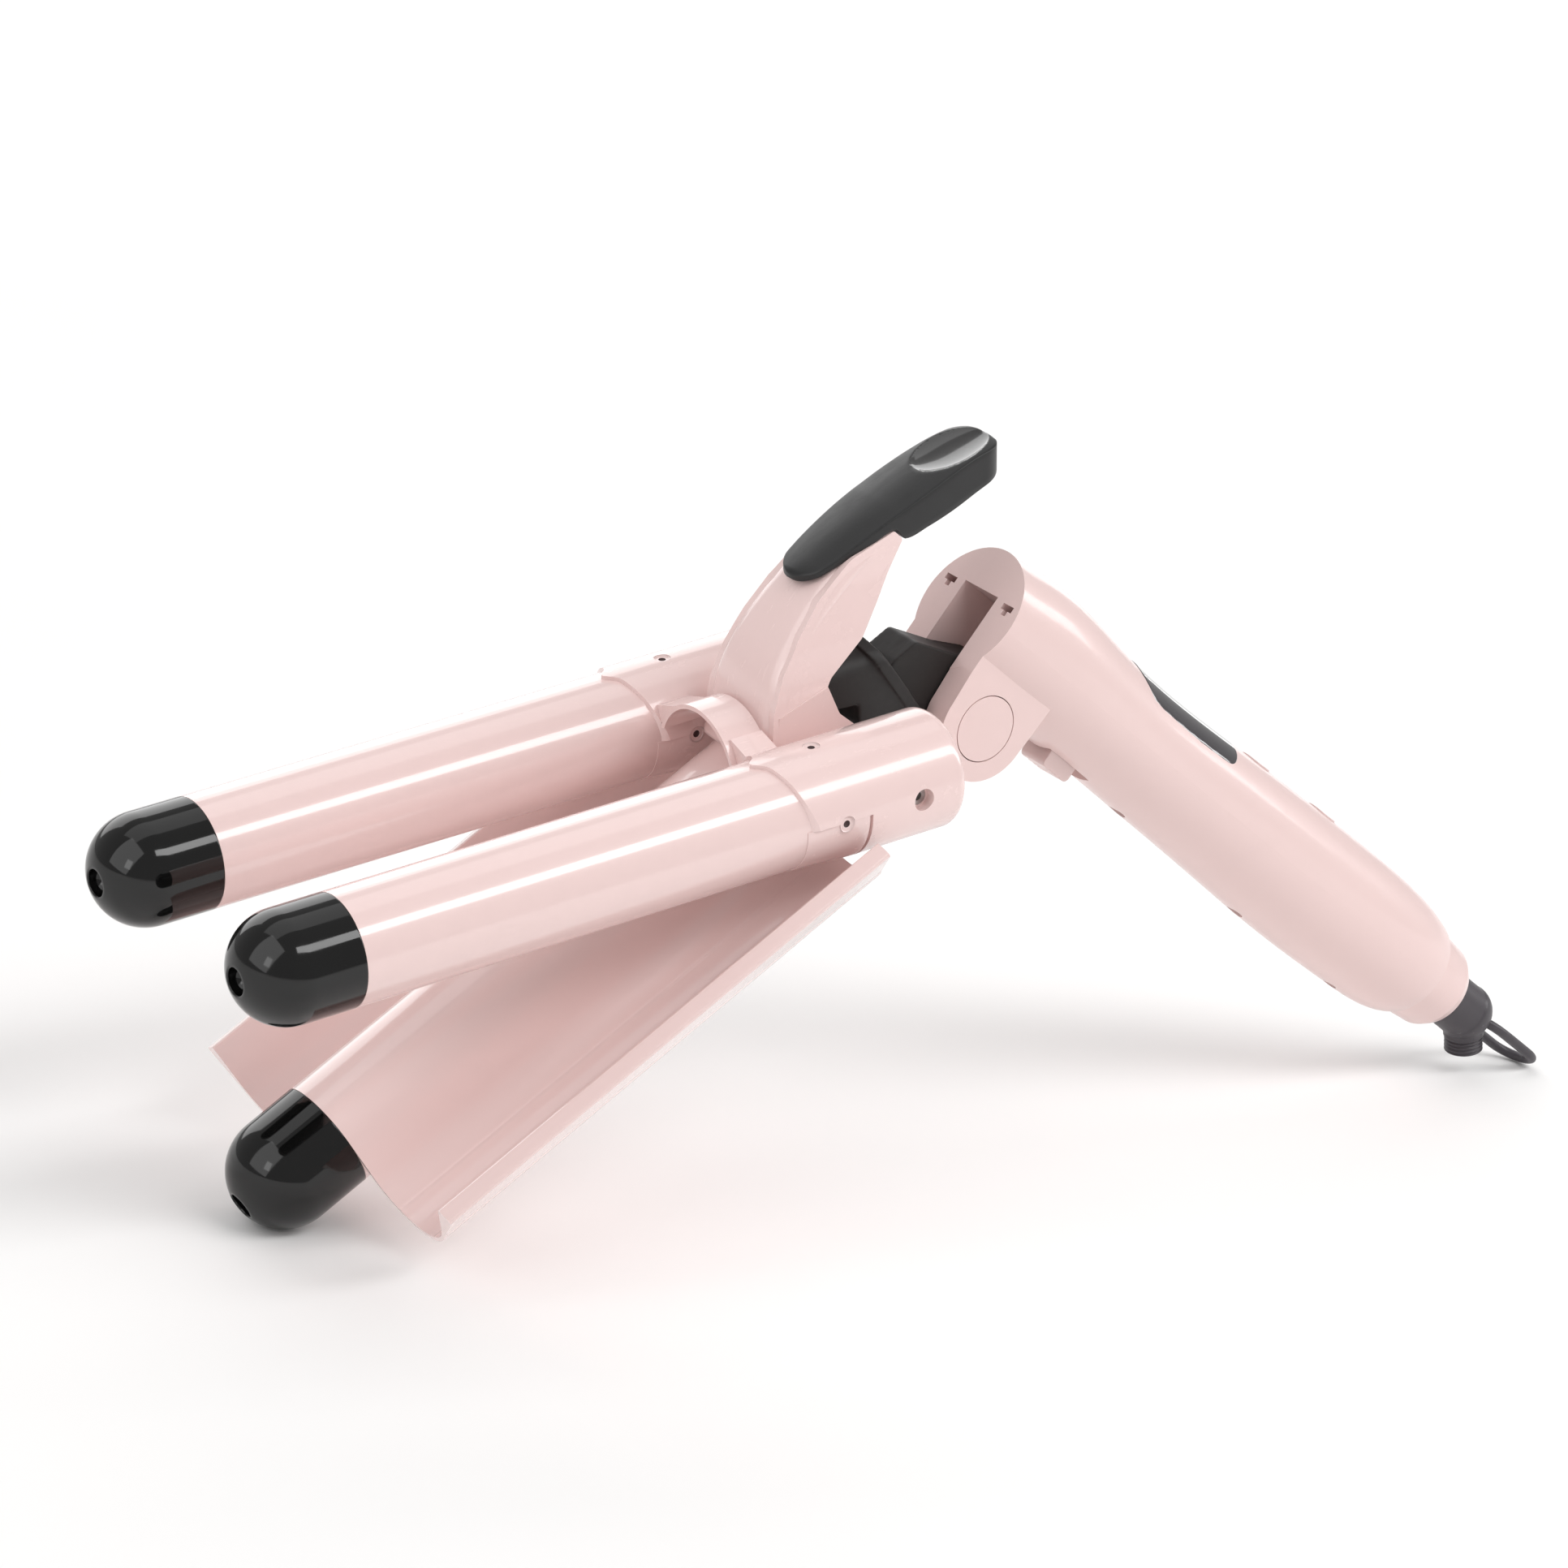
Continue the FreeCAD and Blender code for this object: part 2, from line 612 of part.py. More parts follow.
def lever_body():
    outer = side_prism(lever_profile(0.0), -14, 14).common(front_prism(lever_taper(0.0), 120, 190))
    room = side_prism(lever_profile(LEVER_WALL + 0.5), -14, 14)
    open_back = side_prism(
        [(134.6, 3.0, 0), (146, 18, 0), (172, 43, 0), (180, 30, 0), (160, 3, 0)], -14, 14)
    room = room.fuse(open_back)
    room = room.common(front_prism(lever_taper(LEVER_WALL), 120, 190))
    shell = outer.cut(room)
    ears = []
    for side in (-1.0, 1.0):
        low = min(side * EAR_INNER, side * EAR_OUTER)
        high = max(side * EAR_INNER, side * EAR_OUTER)
        ears.append(cylinder_y(EAR_R, low, high, JAW_PIN_X, 0))
        ears.append(side_prism([(133.8, 1.0, 0), (134.6, 13.0, 0), (147.5, 17.0, 0), (150.5, 10.0, 0),
                                (156.0, 5.0, 0), (150.0, -6.0, 0), (141.0, -11.0, 0)], low, high))
    crosswall = open_jaw(block(JAW_BARREL_END, JAW_BARREL_END + 3.5, -EAR_OUTER, EAR_OUTER, -9.0, 9.5))
    spigot = open_jaw(tube_x(10.2, 7.6, JAW_BARREL_END - 12, JAW_BARREL_END + 0.5))
    barrel_room = open_jaw(cylinder_x(BARREL_R, 100, JAW_BARREL_END))
    uprights = [piece.cut(barrel_room) for piece in [shell] + ears]
    body = fused(uprights + [crosswall, spigot])
    body = body.cut(cylinder_y(BUSH_R, -20, 20, JAW_PIN_X, 0))
    for spot in lever_screw_spots():
        body = body.cut(open_jaw(Part.makeCylinder(1.2, 17, spot, Vector(1, 0, 0))))
    return body


def lever_screw_spots():
    return [Vector(JAW_BARREL_END - 13, y, z) for y, z in ((-6.0, 6.5), (6.0, 6.5), (0.0, -8.9))]


def lever_screws():
    """Screws that hold the jaw barrel's spigot to the lever's cross wall."""
    screws = []
    for spot in lever_screw_spots():
        shank = Part.makeCylinder(1.15, 17.0, spot, Vector(1, 0, 0))
        head = Part.makeCylinder(2.1, 1.4, spot + Vector(16.5, 0, 0), Vector(1, 0, 0))
        screws.append(open_jaw(shank.fuse(head)))
    return Part.makeCompound(screws)


def jaw_bushings():
    """Brass bushes in the lever's ears."""
    bushes = []
    for side in (-1.0, 1.0):
        ends = (side * (EAR_INNER - BUSH_PROUD), side * (EAR_OUTER + BUSH_PROUD))
        ring = cylinder_y(BUSH_R, min(ends), max(ends), JAW_PIN_X, 0)
        bushes.append(ring.cut(cylinder_y(JAW_PIN_R + RUNNING, -20, 20, JAW_PIN_X, 0)))
    return Part.makeCompound(bushes)


def lever_pad():
    """Heat-proof thumb pad along the top of the lever."""
    side_view = side_prism([
        (146.2, 38.2, 0.8),
        (147.2, 36.3, 0.0),
        (156.4, 43.5, 8),
        (168.0, 47.2, 0.0),
        (170.4, 45.3, 0.8),
        (183.0, 48.9, 60),
        (197.4, 52.6, 1.6),
        (198.6, 58.6, 2.2),
        (184.0, 56.8, 30),
        (156.0, 45.4, 30),
    ], -12, 12)
    plan = plan_prism([
        (144.0, -3.2, 3.0), (150.0, -6.9, 10), (164.0, -8.8, 30), (184.0, -8.6, 30), (199.2, -6.6, 5.5),
        (199.2, 6.6, 5.5), (184.0, 8.6, 30), (164.0, 8.8, 30), (150.0, 6.9, 10), (144.0, 3.2, 3.0)], 30, 70)
    pad = side_view.common(plan)
    return pad.cut(Part.makeSphere(DISH_R, Vector(DISH_X, 0, DISH_MIDDLE_Z)))


# ---- handle ------------------------------------------------------------------------------
def handle_section(d, low, high, half, inset=0.0):
    """Oval section of the handle at distance d, drawn inset from the surface."""
    middle = (low + high) / 2
    rise = (high - low) / 2 - inset
    half = half - inset
    curve = Part.Ellipse(Vector(d, 0, middle + rise), Vector(d, half, middle), Vector(d, 0, middle))
    return Part.Wire(curve.toShape())


def handle_body(inset=0.0, start=None):
    wires = [handle_section(*station, inset) for station in HANDLE_STATIONS]
    solid = Part.makeLoft(wires, True, False)
    if start is not None:
        solid = solid.cut(block(HANDLE_FRONT - 5, start, -30, 30, -30, 60))
    return solid


def cheeks():
    """The two lugs that straddle the tongue."""
    lugs = []
    for side in (-1.0, 1.0):
        low = min(side * POCKET_HALF, side * CHEEK_Y)
        high = max(side * POCKET_HALF, side * CHEEK_Y)
        lugs.append(cylinder_y(CHEEK_R, low, high, 0, 0))
        lugs.append(side_prism([(-12.4, 0, 0), (-13.0, 8, 0), (-13.0, 20, 0), (13.5, 20, 0), (12.8, 6, 1),
                                (12.4, 0, 0)], low, high))
    return lugs


def handle_pocket():
    """Pocket in the front of the handle that the tongue turns in."""
    knuckle_room = cylinder_y(POCKET_R, -POCKET_HALF, POCKET_HALF, 0, 0)
    mouth = block(HANDLE_FRONT - 2, 6.0, -POCKET_HALF, POCKET_HALF, -10, 25.2)
    return knuckle_room.fuse(mouth)


def slot_pair():
    """Slots in the front face that receive the head's locating hooks."""
    cuts = []
    for side in (-1.0, 1.0):
        y = side * HOOK_SLOT_Y
        cuts.append(block(HANDLE_FRONT - 1, HANDLE_FRONT + 7, y - 1.8, y + 1.8, 23.4, 24.8))
        cuts.append(block(HANDLE_FRONT - 1, HANDLE_FRONT + 7, y - 0.7, y + 0.7, 22.2, 23.5))
    return cuts


def window_outline(grow=0.0):
    return [
        (WINDOW_START - grow, -4.6 - grow, 1.0), (WINDOW_START + 4.0, -WINDOW_HALF - grow, 2.0),
        (WINDOW_END - 2.0, -WINDOW_HALF - grow, 2.0), (WINDOW_END + grow, -5.6 - grow, 2.0),
        (WINDOW_END + grow, 5.6 + grow, 2.0), (WINDOW_END - 2.0, WINDOW_HALF + grow, 2.0),
        (WINDOW_START + 4.0, WINDOW_HALF + grow, 2.0), (WINDOW_START - grow, 4.6 + grow, 1.0)]


def display_window():
    tile = handle_body().common(plan_prism(window_outline(), 20, 45))
    return tile.cut(handle_body(WINDOW_T))


def button_outline(d, long_half, wide_half, grow=0.0):
    corner = wide_half + grow - 0.05
    along = long_half + grow
    across = wide_half + grow
    return [(d - along, -across, corner), (d + along, -across, corner),
            (d + along, across, corner), (d - along, across, corner)]


def handle_button(d):
    cap = plan_prism(button_outline(d, BUTTON_LONG, BUTTON_WIDE), 29.0, 45)
    flange = plan_prism(button_outline(d, BUTTON_LONG, BUTTON_WIDE, 1.0), 29.0, 45)
    return fused([cap.common(handle_body(-BUTTON_PROUD)), flange.common(handle_body(HANDLE_WALL + 0.2))])


def handle_shells():
    """Upper and lower halves of the handle casing, joined along the split line."""
    outer = handle_body()
    cavity = handle_body(HANDLE_WALL, CAVITY_START)
    upper = outer.common(block(-40, 200, -30, 30, HANDLE_SPLIT, 60))
    lower = fused([outer.common(block(-40, 200, -30, 30, -30, HANDLE_SPLIT))]
                  + [lug.common(block(-40, 200, -30, 30, -30, HANDLE_SPLIT)) for lug in cheeks()])
    shells = []
    for shell in (upper, lower):
        shell = shell.cut(cavity).cut(handle_pocket())
        for cut in slot_pair():
            shell = shell.cut(cut)
        shells.append(shell)
    upper, lower = shells
    upper = upper.cut(plan_prism(window_outline(), 20, 45).cut(handle_body(WINDOW_T)))
    upper = upper.cut(plan_prism(window_outline(-1.6), 20, 45))
    for d in (POWER_D, MODE_D):
        upper = upper.cut(plan_prism(button_outline(d, BUTTON_LONG, BUTTON_WIDE, BUTTON_GAP), 25, 45))
    lower = lower.cut(cylinder_y(FOLD_PIN_R + RUNNING, -20, 20, 0, 0))
    for side in (-1.0, 1.0):
        face = side * CHEEK_Y
        floor = face - side * (COVER_T + 0.1)
        lower = lower.cut(cylinder_y(COVER_R + COVER_GAP, min(face, floor), max(face, floor), 0, 0))
    lower = lower.cut(slider_recess())
    for d in HANDLE_SCREW_SPOTS:
        well = cylinder_z(HANDLE_SCREW_WELL_R, -5, HANDLE_SCREW_SEAT, d, 0)
        hole = cylinder_z(HANDLE_SCREW_HOLE_R, 5, HANDLE_SPLIT + 1, d, 0)
        lower = lower.cut(well).cut(hole)
        post = cylinder_z(HANDLE_POST_R, 4.5, HANDLE_SPLIT, d, 0).common(handle_body())
        lower = lower.fuse(post.cut(cylinder_z(HANDLE_SCREW_HOLE_R, 0, 30, d, 0)).cut(well))
    return upper, lower.removeSplitter()


def slider_recess():
    start = SLIDER_D - 1.2
    end = SLIDER_D + SLIDER_LENGTH + SLIDER_TRAVEL + 1.0
    dip = block(start, end, -SLIDER_HALF - 0.4, SLIDER_HALF + 0.4, -5, 7.4)
    slot = block(SLIDER_D + 1.6, SLIDER_D + 8.4 + SLIDER_TRAVEL, -2.3, 2.3, 0, 14)
    return dip.fuse(slot)


def fold_lock_slider():
    """Thumb catch on the underside that lets the handle fold."""
    thumb = side_prism([
        (SLIDER_D, 2.4, 1.4), (SLIDER_D + SLIDER_LENGTH, 2.4, 1.4), (SLIDER_D + SLIDER_LENGTH, 7.1, 0.4),
        (SLIDER_D, 7.1, 0.4)], -SLIDER_HALF, SLIDER_HALF)
    for i in range(3):
        thumb = thumb.cut(cylinder_y(0.45, -5, 5, SLIDER_D + 2.9 + SLIDER_RIB_PITCH * i, 2.2))
    stem = block(SLIDER_D + 2.0, SLIDER_D + 8.0, -2.0, 2.0, 7.0, 11.0)
    keeper = block(SLIDER_D + 0.5, SLIDER_D + 9.5, -4.0, 4.0, 11.0, 12.6)
    return fused([thumb, stem, keeper])


def slider_spring():
    """Compression spring that returns the catch, drawn as close rings."""
    rings = []
    for i in range(SLIDER_COIL_COUNT):
        middle = Vector(SLIDER_D + 14.6 + SLIDER_COIL_PITCH * i, 0, 13.2)
        rings.append(Part.makeTorus(SLIDER_COIL_R, SLIDER_COIL_WIRE_R, middle, Vector(1, 0, 0)))
    return Part.makeCompound(rings)


def cover_disc(side):
    """Plain disc that hides the end of the fold pin."""
    face = side * CHEEK_Y
    back = face - side * COVER_T
    return cylinder_y(COVER_R, min(face, back), max(face, back), 0, 0)


def control_board():
    board = block(44, 136, -9.5, 9.5, BOARD_LOW, BOARD_TOP)
    chip = block(96, 108, -5, 5, BOARD_TOP, BOARD_TOP + 1.6)
    relay = block(124, 134, -5, 5, BOARD_TOP, BOARD_TOP + 4.0)
    return fused([board, chip, relay])


def display_module():
    return block(WINDOW_START + 5, WINDOW_END - 4, -6.4, 6.4, BOARD_TOP, 28.6)


def button_posts():
    """Push switches on the board under the two buttons."""
    return Part.makeCompound([
        cylinder_z(1.6, BOARD_TOP, 28.0, d, 0) for d in (POWER_D, MODE_D)])


def handle_screws():
    screws = []
    for d in HANDLE_SCREW_SPOTS:
        head = cylinder_z(HANDLE_SCREW_HEAD_R, HANDLE_SCREW_SEAT - 1.6, HANDLE_SCREW_SEAT, d, 0)
        head = head.cut(block(d - 1.6, d + 1.6, -0.3, 0.3, 6.8, 7.4))
        shank = cylinder_z(HANDLE_SCREW_R, HANDLE_SCREW_SEAT - 0.1, HANDLE_SPLIT - 0.5, d, 0)
        screws.append(head.fuse(shank))
    return Part.makeCompound(screws)


def end_collar():
    """Round collar at the cord end that holds the swivel."""
    profile = [
        (HANDLE_END, 0), (HANDLE_END, COLLAR_R + 0.2), (HANDLE_END + 4.5, COLLAR_R),
        (COLLAR_END - 3.5, COLLAR_R - 0.5), (COLLAR_END - 1.1, COLLAR_R - 1.7),
        (COLLAR_END, COLLAR_R - 3.6), (COLLAR_END, 0)]
    collar = revolve_x(profile, 0, AXIS_N)
    inner = cylinder_x(FLANGE_R + 0.6, HANDLE_END - 1, FLANGE_END + 0.2, 0, AXIS_N)
    bore = cylinder_x(NECK_R + RUNNING, HANDLE_END, COLLAR_END + 1, 0, AXIS_N)
    return collar.cut(inner).cut(bore)


# ---- cord swivel -------------------------------------------------------------------------
def stub_way():
    turn = math.radians(STUB_TURN)
    return Vector(math.cos(turn), 0, -math.sin(turn))


def cord_swivel():
    centre = Vector(SWIVEL_MID, 0, AXIS_N)
    neck = cylinder_x(NECK_R, FLANGE_END - FLANGE_T, SWIVEL_MID, 0, AXIS_N)
    flange = cylinder_x(FLANGE_R, FLANGE_END - FLANGE_T, FLANGE_END, 0, AXIS_N)
    dome = Part.makeSphere(NECK_R + 0.15, centre)
    dome = dome.common(cylinder_x(9, SWIVEL_MID - 0.5, SWIVEL_MID + 9, 0, AXIS_N))
    socket = Part.makeCylinder(STUB_R + 0.5, SOCKET_REACH, centre, stub_way())
    body = fused([neck, flange, dome, socket])
    channel = Part.makeCylinder(WIRE_WAY_R, 14, centre + stub_way() * 1.0, stub_way())
    way_in = cylinder_x(WIRE_WAY_R, HANDLE_END, SWIVEL_MID + 1.5, 0, AXIS_N)
    return body.cut(channel).cut(way_in)


def cord_collar():
    """Ribbed outlet that grips the cord."""
    centre = Vector(SWIVEL_MID, 0, AXIS_N)
    way = stub_way()
    body = [Part.makeCylinder(STUB_R - 0.2, STUB_REACH - SOCKET_REACH, centre + way * SOCKET_REACH, way)]
    for i in range(COLLAR_RIBS):
        foot = centre + way * (SOCKET_REACH + 0.3 + COLLAR_RIB_PITCH * i)
        body.append(Part.makeCylinder(STUB_R + 0.15, 0.65, foot, way))
    return fused(body).cut(Part.makeCylinder(CORD_BORE_R, 20, centre, way))


def hang_loop():
    """Long wire ring at the back of the swivel for hanging the tool up."""
    start = SWIVEL_MID + 4.4
    bend = LOOP_TIP - LOOP_HALF
    up = Vector(0, 0, AXIS_N)

    def at(d, y):
        return Vector(d, y, 0) + up

    edges = [
        Part.LineSegment(at(start, -LOOP_HALF * 0.7), at(start + 6, -LOOP_HALF)).toShape(),
        Part.LineSegment(at(start + 6, -LOOP_HALF), at(bend, -LOOP_HALF)).toShape(),
        Part.Arc(at(bend, -LOOP_HALF), at(LOOP_TIP, 0), at(bend, LOOP_HALF)).toShape(),
        Part.LineSegment(at(bend, LOOP_HALF), at(start + 6, LOOP_HALF)).toShape(),
        Part.LineSegment(at(start + 6, LOOP_HALF), at(start, LOOP_HALF * 0.7)).toShape(),
    ]
    path = Part.Wire(edges)
    way = edges[0].tangentAt(edges[0].FirstParameter)
    section = Part.Wire(Part.makeCircle(LOOP_WIRE_R, at(start, -LOOP_HALF * 0.7), way))
    ring = path.makePipeShell([section], True, True, 2)
    ring.rotate(up, Vector(1, 0, 0), LOOP_ROLL)
    return ring.cut(cord_swivel())


# ---- standing on the table -----------------------------------------------------------------
def lowest_after(shape, pitch):
    turned = shape.copy()
    turned.rotate(Vector(0, 0, 0), Vector(0, 1, 0), -pitch)
    return turned.BoundBox.ZMin


def stance_pitch(front, back):
    """Nose-down pitch at which the jaw's tip cap and the hanging loop both touch the table."""
    low = 5.0
    high = 20.0
    for _ in range(24):
        middle = (low + high) / 2
        if lowest_after(back, middle) < lowest_after(front, middle):
            low = middle
        else:
            high = middle
    return (low + high) / 2


def build():
    """Every node's shape in the drawing frame, with the jaw open and the handle folded."""
    nodes = {}
    plain_r = BARREL_R - BARREL_WALL
    jaw_r = BARREL_R - PLATE_T - BARREL_WALL
    for name, side in SIDES:
        y = side * BARREL_PITCH
        nodes["barrel_" + name] = barrel(y)
        nodes["tip_cap_" + name] = tip_cap(y)
        nodes["heater_" + name] = heater(y, plain_r)
        nodes["heat_spreader_" + name] = heat_spreader(y, plain_r)
        nodes["thermistor_" + name] = thermistor(y, plain_r)
    nodes["tip_screws"] = Part.makeCompound([tip_screw(side * BARREL_PITCH) for _, side in SIDES])
    nodes["head_housing"] = head_housing()
    nodes["sleeve_screws"] = sleeve_screws()
    nodes["jaw_pin"] = jaw_pin()
    nodes["jaw_spring"] = jaw_spring()
    nodes["hinge_tongue"] = hinge_tongue()
    nodes["hinge_boot"] = hinge_boot()
    nodes["fold_pin"] = fold_pin()

    nodes["barrel_jaw"] = open_jaw(jaw_barrel())
    nodes["tip_cap_jaw"] = open_jaw(tip_cap())
    nodes["tip_screw_jaw"] = open_jaw(tip_screw())
    nodes["heater_jaw"] = open_jaw(heater(0, jaw_r))
    nodes["heat_spreader_jaw"] = open_jaw(heat_spreader(0, jaw_r))
    nodes["thermistor_jaw"] = open_jaw(thermistor(0, jaw_r))
    nodes["wave_plate"] = open_jaw(wave_plate())
    nodes["lever_body"] = lever_body()
    nodes["lever_screws"] = lever_screws()
    nodes["jaw_bushings"] = jaw_bushings()
    nodes["lever_pad"] = lever_pad()

    upper, lower = handle_shells()
    handle = {
        "handle_upper_shell": upper,
        "handle_lower_shell": lower,
        "display_window": display_window(),
        "display_module": display_module(),
        "control_board": control_board(),
        "button_switches": button_posts(),
        "handle_screws": handle_screws(),
        "slider_spring": slider_spring(),
        "end_collar": end_collar(),
        "power_button": handle_button(POWER_D),
        "mode_button": handle_button(MODE_D),
        "fold_lock_slider": fold_lock_slider(),
        "cord_swivel": cord_swivel(),
        "cord_collar": cord_collar(),
        "hang_loop": hang_loop(),
    }
    for name, side in SIDES:
        handle["cover_disc_" + name] = cover_disc(side)
    for name, shape in handle.items():
        nodes[name] = fold_handle(shape)
    return nodes


NODES = build()
PITCH = stance_pitch(NODES["tip_cap_jaw"], NODES["hang_loop"])


def pitched(shape):
    turned = shape.copy()
    turned.rotate(Vector(0, 0, 0), Vector(0, 1, 0), -PITCH)
    return turned


def standing_shift():
    box = FreeCAD.BoundBox()
    for shape in NODES.values():
        box.add(pitched(shape).BoundBox)
    return Vector(-(box.XMin + box.XMax) / 2, -(box.YMin + box.YMax) / 2, -box.ZMin)


SHIFT = standing_shift()


def stand(shape):
    turned = pitched(shape)
    turned.translate(SHIFT)
    return turned


os.makedirs("parts", exist_ok=True)
for node_name, node_shape in NODES.items():
    stand(node_shape).exportStep("parts/" + node_name + ".step")
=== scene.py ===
import json
import math

import bmesh
import bpy
from mathutils import Matrix, Vector
from mathutils.bvhtree import BVHTree


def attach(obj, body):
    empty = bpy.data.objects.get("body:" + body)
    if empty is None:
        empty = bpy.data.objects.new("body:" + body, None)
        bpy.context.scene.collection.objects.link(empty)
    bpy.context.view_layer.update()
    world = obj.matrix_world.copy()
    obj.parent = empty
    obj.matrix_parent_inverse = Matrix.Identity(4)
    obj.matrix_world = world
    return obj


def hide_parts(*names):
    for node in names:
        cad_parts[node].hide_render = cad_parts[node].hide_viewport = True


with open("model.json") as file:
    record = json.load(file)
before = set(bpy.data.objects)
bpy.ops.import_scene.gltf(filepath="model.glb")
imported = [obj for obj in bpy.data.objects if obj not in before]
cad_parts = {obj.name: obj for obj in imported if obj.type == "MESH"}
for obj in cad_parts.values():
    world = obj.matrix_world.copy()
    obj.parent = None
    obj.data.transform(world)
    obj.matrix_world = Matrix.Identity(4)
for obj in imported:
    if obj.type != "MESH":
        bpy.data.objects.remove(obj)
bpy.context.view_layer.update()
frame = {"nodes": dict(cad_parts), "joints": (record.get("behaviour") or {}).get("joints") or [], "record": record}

# ---- frames ------------------------------------------------------------------------------
# Three drawing frames, in millimetres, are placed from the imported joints:
#   head    X back along the fixed barrels, Y sideways, Z up
#   jaw     the same directions with the jaw shut, turned open about its pin
#   handle  D back along the handle from the fold pin, Y sideways, N up
MM = 0.001
JOINTS = {joint["name"]: joint for joint in frame["joints"]}
JAW_PIN = Vector((152.0, 0.0, 0.0))
FOLD_PIN = Vector((190.0, 0.0, -4.5))
JAW_OPEN = math.radians(25.0)

jaw_pin_place = Vector(JOINTS["jaw_hinge"]["pos_m"])
fold_pin_place = Vector(JOINTS["handle_fold"]["pos_m"])
handle_back = Vector(JOINTS["cord_swivel_turn"]["axis"]).normalized()


def slope(vector):
    return math.atan2(vector.z, vector.x)


STANCE = slope(fold_pin_place - jaw_pin_place) - slope(FOLD_PIN - JAW_PIN)
HEAD = (Matrix.Translation(jaw_pin_place) @ Matrix.Rotation(-STANCE, 4, "Y")
        @ Matrix.Scale(MM, 4) @ Matrix.Translation(-JAW_PIN))
JAW = (HEAD @ Matrix.Translation(JAW_PIN) @ Matrix.Rotation(-JAW_OPEN, 4, "Y")
       @ Matrix.Translation(-JAW_PIN))
HANDLE = (Matrix.Translation(fold_pin_place) @ Matrix.Rotation(-slope(handle_back), 4, "Y")
          @ Matrix.Scale(MM, 4))


# ---- material nodes ------------------------------------------------------------------------
def new_material(name):
    material = bpy.data.materials.new(name)
    material.use_nodes = True
    tree = material.node_tree
    return material, tree, tree.nodes["Principled BSDF"]


def noise(tree, scale, detail=3.0, roughness=0.5, stretch=(1.0, 1.0, 1.0)):
    where = tree.nodes.new("ShaderNodeTexCoord")
    mapping = tree.nodes.new("ShaderNodeMapping")
    mapping.inputs["Scale"].default_value = stretch
    texture = tree.nodes.new("ShaderNodeTexNoise")
    texture.inputs["Scale"].default_value = scale
    texture.inputs["Detail"].default_value = detail
    texture.inputs["Roughness"].default_value = roughness
    tree.links.new(where.outputs["Object"], mapping.inputs["Vector"])
    tree.links.new(mapping.outputs["Vector"], texture.inputs["Vector"])
    return texture.outputs["Fac"]


def spread(tree, source, low, high, start=0.35, end=0.65):
    """Remaps a noise value to the range low..high."""
    node = tree.nodes.new("ShaderNodeMapRange")
    node.inputs["From Min"].default_value = start
    node.inputs["From Max"].default_value = end
    node.inputs["To Min"].default_value = low
    node.inputs["To Max"].default_value = high
    tree.links.new(source, node.inputs["Value"])
    return node.outputs["Result"]


def mix_colour(tree, factor, first, second):
    node = tree.nodes.new("ShaderNodeMix")
    node.data_type = "RGBA"
    for socket, value in ((node.inputs["A"], first), (node.inputs["B"], second)):
        if isinstance(value, bpy.types.NodeSocket):
            tree.links.new(value, socket)
        else:
            socket.default_value = (*value, 1.0)
    tree.links.new(factor, node.inputs["Factor"])
    return node.outputs["Result"]


def edge_wear(tree, low=0.51, high=0.60):
    """Where the surface is sharply convex."""
    geometry = tree.nodes.new("ShaderNodeNewGeometry")
    return spread(tree, geometry.outputs["Pointiness"], 0.0, 1.0, low, high)


def times(tree, first, second):
    node = tree.nodes.new("ShaderNodeMath")
    node.operation = "MULTIPLY"
    for socket, value in zip(node.inputs, (first, second)):
        if isinstance(value, bpy.types.NodeSocket):
            tree.links.new(value, socket)
        else:
            socket.default_value = value
    return node.outputs["Value"]


def bump(tree, shader, height, strength, distance):
    node = tree.nodes.new("ShaderNodeBump")
    node.inputs["Strength"].default_value = strength
    node.inputs["Distance"].default_value = distance
    tree.links.new(height, node.inputs["Height"])
    tree.links.new(node.outputs["Normal"], shader.inputs["Normal"])


def shade(colour, factor):
    return tuple(min(1.0, part * factor) for part in colour)


def moulded(name, colour, rough, grain=900.0, grain_height=0.00004, strength=0.25, coat=0.0,
            coat_rough=0.05, mottle=0.03, wear=0.10, worn=None, rough_spread=0.05):
    """A painted or moulded finish: soft mottling, a fine grain, handling marks, paler worn edges."""
    material, tree, shader = new_material(name)
    worn = worn or shade(colour, 1.0 + wear)
    cloud = spread(tree, noise(tree, 38.0, 4.0), 0.0, 1.0)
    body = mix_colour(tree, cloud, shade(colour, 1.0 - mottle), shade(colour, 1.0 + mottle))
    scuffs = times(tree, edge_wear(tree), spread(tree, noise(tree, 260.0, 5.0, 0.7), 0.0, 1.0))
    tree.links.new(mix_colour(tree, scuffs, body, worn), shader.inputs["Base Color"])
    marks = noise(tree, 120.0, 6.0, 0.65, (1.0, 3.0, 1.0))
    tree.links.new(spread(tree, marks, rough - rough_spread, rough + rough_spread),
                   shader.inputs["Roughness"])
    shader.inputs["Coat Weight"].default_value = coat
    shader.inputs["Coat Roughness"].default_value = coat_rough
    bump(tree, shader, noise(tree, grain, 2.0), strength, grain_height)
    return material


def brushed(name, colour, rough):
    """Bare metal: fine turning lines and slightly uneven polish."""
    material, tree, shader = new_material(name)
    lines = noise(tree, 900.0, 4.0, 0.6, (0.08, 1.0, 1.0))
    tree.links.new(mix_colour(tree, spread(tree, lines, 0.0, 1.0), shade(colour, 0.8), colour),
                   shader.inputs["Base Color"])
    tree.links.new(spread(tree, lines, rough - 0.06, rough + 0.1), shader.inputs["Roughness"])
    shader.inputs["Metallic"].default_value = 1.0
    bump(tree, shader, lines, 0.3, 0.00003)
    return material


PINK = (0.84, 0.640, 0.617)
PINK_SATIN = (0.80, 0.605, 0.582)

